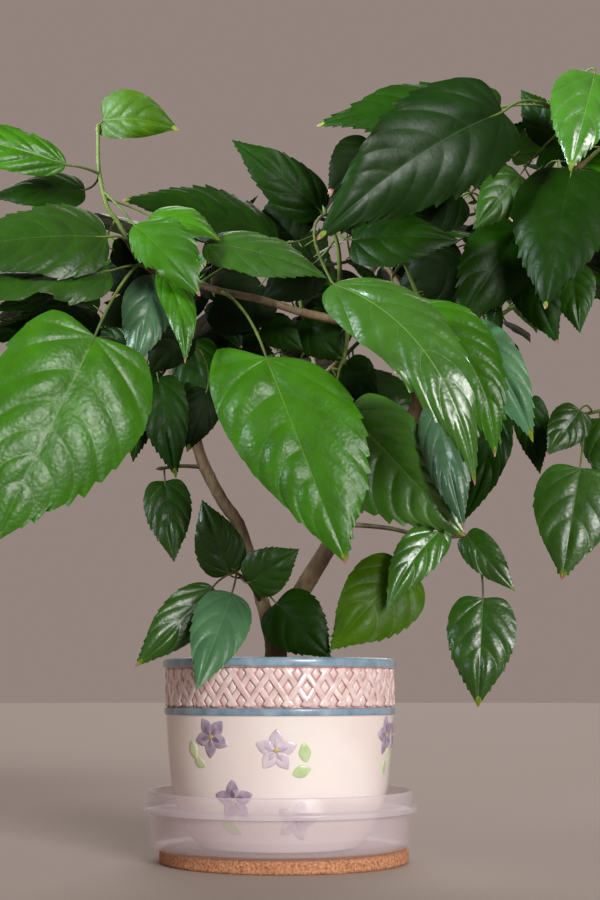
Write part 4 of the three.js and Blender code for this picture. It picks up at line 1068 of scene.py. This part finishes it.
# the limbs grown into one, with furrows, knobs and leaf scars, cut level at the ground
def barkPiece():
    form = barkForm
    runs = []
    for limb in limbs.values():
        path, shares = evenPath(smoothLine([seen(p) for p in limb["points"]]), form["step"])
        runs.append((path, radiiAlong(shares, limb["radii"])))
    mesh = tubeMesh("bark", runs, form["sides"])
    obj = newPiece("bark", mesh, "bark", *limbs)
    remesh = obj.modifiers.new("join", "REMESH")
    remesh.mode = "VOXEL"
    remesh.voxel_size = form["voxel"] * mm
    joined = bpy.data.meshes.new_from_object(obj.evaluated_get(bpy.context.evaluated_depsgraph_get()))
    obj.modifiers.clear()
    bm = bmesh.new()
    bm.from_mesh(joined)
    bmesh.ops.smooth_vert(bm, verts=bm.verts, factor=form["smooth"], use_axis_x=True, use_axis_y=True,
                          use_axis_z=True)
    bm.normal_update()
    around, upAlong = form["furrow"]
    for vert in bm.verts:
        p = vert.co / mm
        furrow = noise.noise(Vector((p.x * around, p.y * around, p.z * upAlong)))
        knob = noise.noise(p * form["knob"])
        fromScar = ((p.z + p.x * form["ringLean"]) % form["ringEvery"]) - form["ringAt"]
        ring = math.exp(-(fromScar / form["ringWide"]) ** 2)
        relief = form["relief"] * (furrow + form["knobShare"] * knob)
        vert.co += vert.normal * mm * (relief + form["ring"] * ring)
    cut = bmesh.ops.bisect_plane(bm, geom=bm.verts[:] + bm.edges[:] + bm.faces[:],
                                 plane_co=(0, 0, groundHeight * mm), plane_no=(0, 0, -1), clear_outer=True)
    edges = [e for e in cut["geom_cut"] if isinstance(e, bmesh.types.BMEdge)]
    bmesh.ops.holes_fill(bm, edges=edges)
    for face in bm.faces:
        face.smooth = True
    final = bpy.data.meshes.new("bark")
    bm.to_mesh(final)
    bm.free()
    final.materials.append(bark.material)
    obj.data = final
    print("bark:", len(final.polygons), "faces")


brownStalk = mottled("brown_stalk", (84, 74, 40), 0.5, 120, [(0.3, (66, 52, 30)), (0.7, (100, 96, 50))])
brownMasses = ("leaves_base_shoot", "leaves_low_shoot", "leaves_left_twig")
budForm = {"long": 6.0, "places": (-0.1, 0.3, 0.6, 1), "radii": (1.0, 1.5, 1.2, 0.2), "from": 70,
           "stipule": 5.0, "stipuleRadii": (0.45, 0.35, 0.08), "lean": (0.5, 0.7, 0.4)}


# a pair of stipules where a stalk leaves its stem
def stipules(path):
    ahead = unit(path[1] - path[0])
    sideways = unit(np.cross(ahead, upward) + 1e-6)
    forward, outward, lift = budForm["lean"]
    for way in (1, -1):
        lean = unit(ahead * forward + sideways * way * outward + upward * lift)
        hair = np.array([path[0] + lean * budForm["stipule"] * k for k in (0, 0.5, 1)])
        yield hair, budForm["stipuleRadii"]


# stems that are wood at their thick end, leaf stalks with stipules, and a bud on each stem's end
def twigPieces():
    form = twigForm
    wood, green, brown = [], [], []
    for name, one in masses.items():
        slim = brown if name in brownMasses else green
        for stem in one["stems"]:
            path, shares = evenPath(smoothLine([seen(p) for p in stem["points"]]), form["step"])
            radii = radiiAlong(shares, stem["radii"])
            split = int((radii >= form["greenFrom"]).sum())
            if split > 2:
                wood.append((path[:split + 1], radii[:split + 1]))
            if split < len(path) - 2:
                start = max(split - 1, 0)
                slim.append((path[start:], radii[start:]))
            ahead = unit(path[-1] - path[-2])
            tip = np.array([path[-1] + ahead * budForm["long"] * k for k in budForm["places"]])
            green.append((tip, budForm["radii"]))
        for entry in one["placed"]:
            leaf, path = entry["leaf"], entry["stalk"]
            share, under = form["stalkEnd"]
            path = np.vstack([path, leafPoint(leaf, share, 0) - leaf["face"] * under])
            fine, shares = evenPath(smoothLine(evenKnots(path, form["knots"])), form["step"])
            scale = min(1.0, form["least"] + leaf["length"] / form["fullAt"])
            slim.append((fine, radiiAlong(shares, form["stalkRadii"]) * scale))
            if leaf["length"] > budForm["from"]:
                green += stipules(path)
    for name, runs, finish, slotName in (("twigs", wood, twigWood, "bark"),
                                         ("stalks", green, greenStalk, "foliage"),
                                         ("brown_stalks", brown, brownStalk, "foliage")):
        mesh = tubeMesh(name, runs, form["sides"])
        mesh.materials.append(finish.material)
        mesh.polygons.foreach_set("use_smooth", np.ones(len(mesh.polygons), bool))
        newPiece(name, mesh, slotName)
        print(name + ":", len(mesh.polygons), "faces")


barkPiece()
twigPieces()


tubBase, potBase = 8.8, 10.7
potForm = {
    "outside": [(54, 0), (60, 6), (67, 18), (73, 38), (75.8, 64), (77.4, 86.4), (78.6, 87.3), (78.8, 91.2),
                (76.6, 91.8), (77.4, 117.7), (80, 118.3), (80, 122.5), (78.5, 124)],
    "inside": [(76.5, 124), (75.5, 122.5), (73.5, 87.3), (68.5, 38), (62.5, 19), (52, 6), (0, 6)],
    "body": 6, "steps": 160, "bevel": 0.55, "ringLow": (86.9, 91.6), "ringHigh": (118.0, 124.1),
    "ringFrom": 76, "ringKind": 1, "recessKind": 2, "nearSkin": 75.0,
}
latticeForm = {
    "low": 91.8, "top": 117.9, "radius": 77.0, "margin": 0.6, "under": 0.3, "over": 0.35, "strips": 40,
    "wide": 3.9, "thick": 1.5, "slope": 55, "weave": 0.45, "bevel": 0.55, "cuts": 17, "pillow": 0.84,
    "pillowInsets": (0.12, 0.3, 0.25), "pillowTop": 0.62, "pillowFall": 0.25, "pillowSunk": 0.3,
    "raisedTo": 0.98,
}

glaze = mottled("cream_glaze", (243, 232, 227), 0.22, 16,
                [(0.3, (238, 222, 217)), (0.55, (243, 233, 228)), (0.75, (246, 240, 233))], 3.0,
                Coat_Weight=0.4, Coat_Roughness=0.1)
glaze.bumped(glaze.pattern(scale=60), 0.0004, 0.25)
ringGlaze = mottled("blue_grey_glaze", (108, 134, 150), 0.25, 90,
                    [(0.3, (106, 134, 156)), (0.6, (140, 166, 183)), (0.8, (174, 192, 201))], 4.0,
                    Coat_Weight=0.4, Coat_Roughness=0.12)
recess = mottled("rose_brown_glaze", (184, 142, 140), 0.35, 120,
                 [(0.3, (166, 122, 120)), (0.7, (204, 164, 161))], 3.0)
stripGlaze = mottled("strip_glaze", (228, 200, 192), 0.25, 150,
                     [(0.3, (212, 179, 176)), (0.55, (234, 210, 208)), (0.75, (243, 228, 222))], 3.0,
                     Coat_Weight=0.4, Coat_Roughness=0.12)
lilac = mottled("lilac_glaze", (162, 146, 168), 0.28, 130,
                [(0.3, (132, 115, 141)), (0.5, (168, 152, 172)), (0.75, (210, 196, 204))], 4.0,
                Coat_Weight=0.3)
paleLilac = mottled("pale_lilac_glaze", (216, 200, 210), 0.28, 110,
                    [(0.3, (194, 176, 194)), (0.55, (216, 202, 212)), (0.75, (234, 222, 222))], 4.0,
                    Coat_Weight=0.3)
violet = mottled("violet_glaze", (130, 112, 148), 0.28, 160,
                 [(0.3, (114, 96, 126)), (0.7, (158, 142, 164))], 4.0, Coat_Weight=0.3)
softLilac = mottled("soft_lilac_glaze", (204, 188, 208), 0.28, 130,
                    [(0.3, (184, 166, 192)), (0.7, (218, 204, 216))], 4.0, Coat_Weight=0.3)
yellowEye = mottled("yellow_eye", (200, 182, 112), 0.35, 300, [(0.3, (176, 150, 88)), (0.7, (218, 202, 138))])
paleGreen = mottled("pale_green_glaze", (200, 218, 166), 0.28, 110,
                    [(0.3, (174, 202, 136)), (0.7, (222, 230, 192))], 3.0, Coat_Weight=0.3)


# a profile of radii and heights, turned about the upright axis
def spun(profile, base, steps):
    bm = bmesh.new()
    verts = [bm.verts.new((r * mm, 0, (z + base) * mm)) for r, z in profile]
    edges = [bm.edges.new(pair) for pair in zip(verts, verts[1:])]
    bmesh.ops.spin(bm, geom=verts + edges, cent=(0, 0, 0), axis=(0, 0, 1), steps=steps, angle=2 * math.pi,
                   use_merge=True, use_duplicate=False)
    bmesh.ops.remove_doubles(bm, verts=bm.verts, dist=1e-6)
    bmesh.ops.recalc_face_normals(bm, faces=bm.faces)
    return bm


# rounds the ring edges that turn by more than so many degrees
def rounded(bm, offset, least=12, segments=3):
    edges = [e for e in bm.edges if len(e.link_faces) == 2 and abs(e.verts[0].co.z - e.verts[1].co.z) < 1e-7
             and e.calc_face_angle(0) > least * degree]
    bmesh.ops.bevel(bm, geom=edges, offset=offset * mm, segments=segments, profile=0.5, affect="EDGES",
                    material=-1, clamp_overlap=True)
    return bm


def meshOf(bm, name, mats):
    for face in bm.faces:
        face.smooth = True
    mesh = bpy.data.meshes.new(name)
    bm.to_mesh(mesh)
    bm.free()
    for m in mats:
        mesh.materials.append(m)
    return mesh


# puts a small shape into a larger one
def joinTo(target, bm):
    part = bpy.data.meshes.new("part")
    bm.to_mesh(part)
    bm.free()
    target.from_mesh(part)
    bpy.data.meshes.remove(part)


# raises a flat shape's middle in rings, each so far inside the last
def ringed(bm, depths):
    for deep in depths:
        middle = [f for f in bm.faces if f.calc_center_median().length < 0.1]
        bmesh.ops.inset_region(bm, faces=middle, thickness=deep, use_boundary=True, use_even_offset=True)


# the point at a radius and a height over the pot's base, so far round from its front
def roundPot(radius, angle, height):
    return radius * math.sin(angle) * mm, -radius * math.cos(angle) * mm, (height + potBase) * mm


# height in mm and radius of a face's middle
def heightAndRadius(face, base):
    middle = face.calc_center_median()
    return middle.z / mm - base, math.hypot(*middle.xy) / mm


def potBody():
    form = potForm
    bm = rounded(spun([(0, 0)] + form["outside"] + form["inside"], potBase, form["steps"]), form["bevel"])
    for face in bm.faces:
        z, radius = heightAndRadius(face, potBase)
        if radius > form["ringFrom"]:
            if any(low < z < high for low, high in (form["ringLow"], form["ringHigh"])):
                face.material_index = form["ringKind"]
            elif latticeForm["low"] - latticeForm["under"] < z < latticeForm["top"]:
                face.material_index = form["recessKind"]
    mats = [glaze.material, ringGlaze.material, recess.material]
    newPiece("pot_body", meshOf(bm, "pot_body", mats), "glaze", "pot")
    print("pot: body")


slope = latticeForm["slope"] * degree
pitch = 2 * math.pi * latticeForm["radius"] / latticeForm["strips"]
bandLow = latticeForm["low"] + latticeForm["margin"]
bandHigh = latticeForm["top"] - latticeForm["margin"]
bandMiddle = (bandLow + bandHigh) / 2


# a bar with its upper edges rounded, laid slanting round the pot, over and under those of the other way
def stripShape(number, way):
    form = latticeForm
    run = (bandHigh - bandLow) / math.sin(slope)
    bm = bmesh.new()
    bmesh.ops.create_cube(bm, size=1, matrix=Matrix.Diagonal((run, form["wide"], form["thick"], 1)))
    sharp = [e for e in bm.edges if abs(e.verts[0].co.y - e.verts[1].co.y) < 0.1
             and abs(e.verts[0].co.z - e.verts[1].co.z) < 0.1 and e.verts[0].co.z > 0]
    bmesh.ops.bevel(bm, geom=sharp, offset=form["bevel"], segments=2, profile=0.5, affect="EDGES",
                    material=-1)
    lengthwise = [e for e in bm.edges if abs(e.verts[0].co.x - e.verts[1].co.x) > run * 0.9]
    bmesh.ops.subdivide_edges(bm, edges=lengthwise, cuts=form["cuts"], use_grid_fill=True)
    side = (1 if number % 2 else -1) * way
    for vert in bm.verts:
        x, y, z = vert.co
        flat = way * (x * math.cos(slope) - y * math.sin(slope)) + number * pitch
        tall = bandMiddle + x * math.sin(slope) + y * math.cos(slope)
        wave = math.cos(2 * math.pi * (x * math.cos(slope)) / pitch) * side
        deep = form["radius"] + form["over"] + z + form["weave"] * wave
        vert.co = roundPot(deep, flat / form["radius"], min(max(tall, bandLow), bandHigh))
    if way < 0:
        bmesh.ops.reverse_faces(bm, faces=bm.faces)
    return bm


# the raised pillow of a gap between the strips; the middle row stands half a step further round
def pillowShape(number, level):
    form = latticeForm
    wide = (pitch - form["wide"] / math.sin(slope)) * form["pillow"]
    bm = bmesh.new()
    bmesh.ops.create_circle(bm, cap_ends=True, segments=4, radius=1)
    ringed(bm, form["pillowInsets"])
    for vert in bm.verts:
        x, y = vert.co.x, vert.co.y
        away = abs(x) + abs(y)
        flat = x * wide / 2 + (number + (0.5 if level == 0 else 0)) * pitch
        tall = bandMiddle + level * (pitch * math.tan(slope) / 2) + y * wide / 2 * math.tan(slope)
        isRaised = away < form["raisedTo"]
        lift = form["pillowTop"] - form["pillowFall"] * away ** 2 if isRaised else -form["pillowSunk"]
        vert.co = roundPot(form["radius"] + lift, flat / form["radius"], tall)
    return bm


def potLattice():
    lattice = bmesh.new()
    for way in (1, -1):
        for number in range(latticeForm["strips"]):
            joinTo(lattice, stripShape(number, way))
    for level in (-1, 0, 1):
        for number in range(latticeForm["strips"]):
            joinTo(lattice, pillowShape(number, level))
    newPiece("pot_lattice", meshOf(lattice, "pot_lattice", [stripGlaze.material]), "glaze")
    print("pot: lattice")


# radius of the pot's outside at a height over its base
def potRadius(z):
    radii, heights = zip(*potForm["outside"][:potForm["body"]])
    return float(np.interp(z, heights, radii))


# angle and height on the pot's skin of a place in the view
def onPot(across, down):
    out = potForm["nearSkin"]
    for _ in range(8):  # each step lands nearer to the skin
        x, y, z = seen((across, down, out))
        radius = potRadius(z - potBase)
        angle = math.asin(max(-1, min(1, x / radius)))
        out = radius * math.cos(angle)
    return angle, z - potBase


flowerForm = {"petal": (13.5, 9.6), "petals": 5, "root": 0.4, "inner": (0.55, 0.36), "innerRoot": 0.8,
              "innerLift": 0.22, "leaf": (13.5, 8.5), "eye": 2.0, "eyeWide": 1.7, "eyeUp": 0.2,
              "eyeLift": 0.4, "thick": 0.55, "sunk": 0.15, "insets": (0.08, 0.2, 0.3), "corners": 20,
              "point": 0.62, "sharpen": 1.5, "heel": 0.3, "raisedTo": 0.98, "sprays": 3, "sprayTurn": 25}
# each blossom's place in the view, its turn, size and kind; each leaf's place, turn and size; and which of
# them are repeated round the pot
flowers = {
    "blossoms": [(211, 737, 30, 1.0, "violet"), (276, 751, -2, 1.02, "pale"), (234, 801, 2, 1.0, "violet"),
                 (386, 735, 12, 1.0, "violet"), (297, 821, -14, 1.0, "pale")],
    "leaves": [(191, 740, -70, 1.0), (195, 760, -20, 0.8), (306, 763, 98, 1.0), (292, 775, 18, 1.0),
               (222, 823, -25, 1.1), (384, 760, -80, 0.8)],
    "repeated": (0, 1, 2, 4), "repeatedLeaves": 5,
}
# materials by their number: a blossom's petals and the smaller ones on them, its eye, a leaf
petalKinds = {"violet": (0, 2), "pale": (1, 5)}
eyeKind, leafKind = 3, 4


# a pointed flat shape, laid on the pot's skin at an angle and height, its root a little way from the middle
def laidShape(target, angle, height, turn, long, wide, root, kind, point=flowerForm["point"], lift=0.0):
    form = flowerForm
    bm = bmesh.new()
    bmesh.ops.create_circle(bm, cap_ends=True, cap_tris=False, segments=form["corners"], radius=1)
    ringed(bm, form["insets"])
    c, s = math.cos(turn), math.sin(turn)
    for vert in bm.verts:
        x, y = vert.co.x, vert.co.y
        away = math.hypot(x, y)
        narrow = 1 - point * max(x, 0) ** form["sharpen"] - form["heel"] * max(-x, 0) ** 2
        isRaised = away < form["raisedTo"]
        rise = lift + form["thick"] * (1 - away ** 2) ** 0.5 if isRaised else -form["sunk"]
        flatX = root + long * (x + 1) / 2
        flatY = wide / 2 * y * narrow
        across, up = flatX * c - flatY * s, flatX * s + flatY * c
        vert.co = roundPot(potRadius(height + up) + rise, angle + across / potRadius(height), height + up)
    for face in bm.faces:
        face.material_index = kind
    joinTo(target, bm)


def flowerPiece():
    target = bmesh.new()
    form = flowerForm
    spots = [onPot(x, y) + (turn, size, petalKinds[kind]) for x, y, turn, size, kind in flowers["blossoms"]]
    greens = [onPot(x, y) + (turn, size) for x, y, turn, size in flowers["leaves"]]
    again = [spots[k] for k in flowers["repeated"]]
    greensAgain = greens[:flowers["repeatedLeaves"]]
    around = 2 * math.pi / form["sprays"]  # the same spray again, round the pot
    for back in range(1, form["sprays"]):
        spots += [(a + back * around, z, turn + form["sprayTurn"] * back, size, kind)
                  for a, z, turn, size, kind in again]
        greens += [(a + back * around, z, turn, size) for a, z, turn, size in greensAgain]
    petalLong, petalWide = form["petal"]
    innerLong, innerWide = form["inner"]
    eye = form["eye"]
    for angle, height, turn, size, (outerKind, innerKind) in spots:
        for petal in range(form["petals"]):
            way = (90 + turn + petal * 360 / form["petals"]) * degree
            laidShape(target, angle, height, way, petalLong * size, petalWide * size, form["root"], outerKind)
            laidShape(target, angle, height, way, petalLong * size * innerLong, petalWide * size * innerWide,
                      form["innerRoot"], innerKind, lift=form["innerLift"])
        laidShape(target, angle, height + form["eyeUp"], 0, eye * 2 * size, eye * form["eyeWide"],
                  -eye * size, eyeKind, point=0, lift=form["eyeLift"])
    leafLong, leafWide = form["leaf"]
    for angle, height, turn, size in greens:
        laidShape(target, angle, height, turn * degree, leafLong * size, leafWide * size, 0, leafKind)
    bmesh.ops.recalc_face_normals(target, faces=target.faces)
    mats = [lilac.material, paleLilac.material, violet.material, yellowEye.material, paleGreen.material,
            softLilac.material]
    newPiece("pot_flowers", meshOf(target, "pot_flowers", mats), "glaze")
    print("pot: flowers")


tubForm = {
    "profile": [(0, 0), (82, 0), (86.3, 2.0), (87.5, 5), (88, 24), (93, 25), (93, 28), (89.7, 29.5),
                (89.7, 37.9), (89.2, 38.5), (88.6, 38.5), (88.2, 37.9), (88.2, 30.2), (86.5, 23), (86, 6),
                (81, 1.6), (0, 1.6)],
    "steps": 160, "bevel": 0.4, "least": 20, "segments": 2, "rimFrom": 37.2, "flangeFrom": 90, "footFrom": 80,
    "footTop": 2.5, "lipKind": 1,
}


# the wall lets more through than the rim, the flange and the foot
def tubPiece():
    form = tubForm
    turned = spun(form["profile"], tubBase, form["steps"])
    bm = rounded(turned, form["bevel"], form["least"], form["segments"])
    plastic = Finish("clear_plastic_wall", linear(232, 218, 224), 0.16, Alpha=0.28)
    plastic.varied(plastic.pattern(scale=90, Detail=4.0), "Roughness", 0.12, 0.3)
    plastic.bumped(plastic.pattern(scale=40), 0.0006, 0.2)
    lip = Finish("clear_plastic_lip", linear(222, 212, 222), 0.16, Alpha=0.42)
    lip.varied(lip.pattern(scale=90), "Roughness", 0.12, 0.26)
    for face in bm.faces:
        z, radius = heightAndRadius(face, tubBase)
        isFoot = radius > form["footFrom"] and z < form["footTop"]
        if z > form["rimFrom"] or radius > form["flangeFrom"] or isFoot:
            face.material_index = form["lipKind"]
    newPiece("tub", meshOf(bm, "tub", [plastic.material, lip.material]), "clear_plastic", "saucer_tub")
    print("tub")


matForm = {
    "profile": [(0, 0), (82.8, 0), (84, 1.2), (84, 7.3), (82.8, 8.5), (0, 8.5)], "steps": 180, "side": 5,
    "cuts": 6, "edge": 80, "crumbs": (0.45, 0.45, 0.6), "deep": 0.35, "sunk": 0.25, "shift": 3,
}


# a disc with a crumbled edge, a little to the right of the tub
def matPiece():
    form = matForm
    bm = spun(form["profile"], 0, form["steps"])
    side = [e for e in bm.edges if abs(e.verts[0].co.z - e.verts[1].co.z) > form["side"] * mm]
    bmesh.ops.subdivide_edges(bm, edges=side, cuts=form["cuts"], use_grid_fill=True)
    for vert in bm.verts:
        p = vert.co / mm
        radius = math.hypot(p.x, p.y)
        if radius > form["edge"]:
            at = Vector([way * fine for way, fine in zip(p, form["crumbs"])])
            crumb = noise.noise(at) * form["deep"] - form["sunk"]
            vert.co.x *= 1 + crumb / radius
            vert.co.y *= 1 + crumb / radius
        vert.co.x += form["shift"] * mm
    cork = mottled("cork", (188, 124, 84), 0.9, 620,
                   [(0.3, (124, 78, 54)), (0.46, (178, 120, 86)), (0.7, (208, 156, 118))], 6.0)
    cork.bumped(cork.pattern("TexVoronoi", scale=520), 0.0006, 0.6)
    newPiece("mat", meshOf(bm, "mat", [cork.material]), "cork", "cork_mat")
    print("mat")


soilForm = {
    "profile": [(0, 6.3), (51.7, 6.3), (62.2, 19.3), (68.2, 38.3), (73.2, 87.6), (73.3, 107), (42, 108.7),
                (16, 109.5), (0, 109.5)],
    "steps": 96, "topFrom": 110, "topTurn": 0.8, "whole": 8, "cuts": 7, "lumpsFrom": 115,
    "lumps": (0.22, 1.1), "crumbs": (0.7, 0.5), "lumpTop": 0.6, "edge": 72, "fade": 4,
}


# its top is cut finer outside its middle, then made lumpy, less so toward the pot
def soilPiece():
    form = soilForm
    bm = spun(form["profile"], potBase, form["steps"])
    top = [f for f in bm.faces
           if f.normal.z > form["topTurn"] and f.calc_center_median().z > form["topFrom"] * mm]
    edges = list({e for f in top for e in f.edges
                  if math.hypot(*((e.verts[0].co + e.verts[1].co) / 2).xy) > form["whole"] * mm})
    bmesh.ops.subdivide_edges(bm, edges=edges, cuts=form["cuts"], use_grid_fill=True)
    lumpScale, lumpHeight = form["lumps"]
    crumbScale, crumbHeight = form["crumbs"]
    for vert in bm.verts:
        p = vert.co / mm
        radius = math.hypot(p.x, p.y)
        if p.z > form["lumpsFrom"] and radius < form["edge"]:
            lump = noise.noise(p * lumpScale) * lumpHeight + noise.noise(p * crumbScale) * crumbHeight
            fade = min(1, (form["edge"] - radius) / form["fade"])
            vert.co.z += (min(lump, form["lumpTop"]) - form["lumpTop"]) * mm * fade
    earth = Finish("soil", linear(52, 38, 30), 0.95)
    clod = earth.pattern(scale=260, Detail=8.0)
    earth.colored(earth.ramp(clod, [(0.3, linear(28, 20, 16)), (0.6, linear(62, 46, 36)),
                                    (0.8, linear(96, 78, 64))]))
    earth.bumped(clod, 0.0012, 1.0)
    newPiece("soil_top", meshOf(bm, "soil_top", [earth.material]), "soil", "soil")
    print("soil")


potBody()
potLattice()
flowerPiece()
tubPiece()
matPiece()
soilPiece()


# daylight from a window at the right, a cooler one at the left, and a little from behind
lights = [
    {"name": "key", "kind": "SUN", "at": (0.75, -1.55, 0.75), "power": 2.9, "soft": 24,
     "color": (1.0, 0.985, 0.97), "aim": (0.02, 0, 0.25)},
    {"name": "left_window", "kind": "AREA", "at": (-1.25, -0.9, 0.85), "size": 0.4, "power": 4.2, "soft": 26,
     "color": (0.82, 0.93, 1.0), "aim": (0, 0, 0.64)},
    {"name": "back", "kind": "SUN", "at": (0.1, 1.2, 0.85), "power": 0.8, "soft": 40,
     "color": (1.0, 0.98, 0.96), "aim": (0, 0, 0)},
]
# the room is dimmer toward the side where the camera stands
room = {"color": (0.29, 0.232, 0.205, 1),
        "dimmer": {"From Min": -0.8, "From Max": 0.2, "To Min": 0.72, "To Max": 1.0}}
floorForm = {"color": (175, 162, 154), "roughness": 0.8, "radius": 12, "sides": 128}
film = {"width": 36, "rows": 900}


def addFloor():
    bm = bmesh.new()
    bmesh.ops.create_circle(bm, cap_ends=True, segments=floorForm["sides"], radius=floorForm["radius"])
    pale = Finish("pale_floor", linear(*floorForm["color"]), floorForm["roughness"]).material
    floor = bpy.data.objects.new("floor", meshOf(bm, "floor", [pale]))
    collection.objects.link(floor)


def addRoom():
    world = bpy.data.worlds.new("pale")
    world.use_nodes = True
    nodes, links = world.node_tree.nodes, world.node_tree.links
    nodes["Background"].inputs["Color"].default_value = room["color"]
    compass = nodes.new("ShaderNodeSeparateXYZ")
    links.new(nodes.new("ShaderNodeTexCoord").outputs["Generated"], compass.inputs["Vector"])
    dimmer = nodes.new("ShaderNodeMapRange")
    for socket, value in room["dimmer"].items():
        dimmer.inputs[socket].default_value = value
    links.new(compass.outputs["Y"], dimmer.inputs["Value"])
    links.new(dimmer.outputs["Result"], nodes["Background"].inputs["Strength"])
    scene.world = world
    scene.view_settings.view_transform = "Standard"


def addLights():
    for one in lights:
        data = bpy.data.lights.new(one["name"], one["kind"])
        data.energy, data.color = one["power"], one["color"]
        if one["kind"] == "SUN":
            data.angle = one["soft"] * degree
        else:
            data.size, data.spread = one["size"], one["soft"] * degree
        lamp = bpy.data.objects.new(one["name"], data)
        lamp.location = one["at"]
        lamp.rotation_euler = (Vector(one["aim"]) - lamp.location).to_track_quat("-Z", "Y").to_euler()
        collection.objects.link(lamp)


def addCamera():
    data = bpy.data.cameras.new("camera")
    data.sensor_width = film["width"]
    data.lens = film["width"] * standpoint["reach"] / film["rows"]
    camera = bpy.data.objects.new("camera", data)
    camera.location = standpoint["eye"] * mm
    camera.rotation_euler = ((90 + standpoint["pitch"]) * degree, 0, 0)
    collection.objects.link(camera)
    scene.camera = camera


addFloor()
addRoom()
addLights()
addCamera()
print("floor, room, lights and camera")
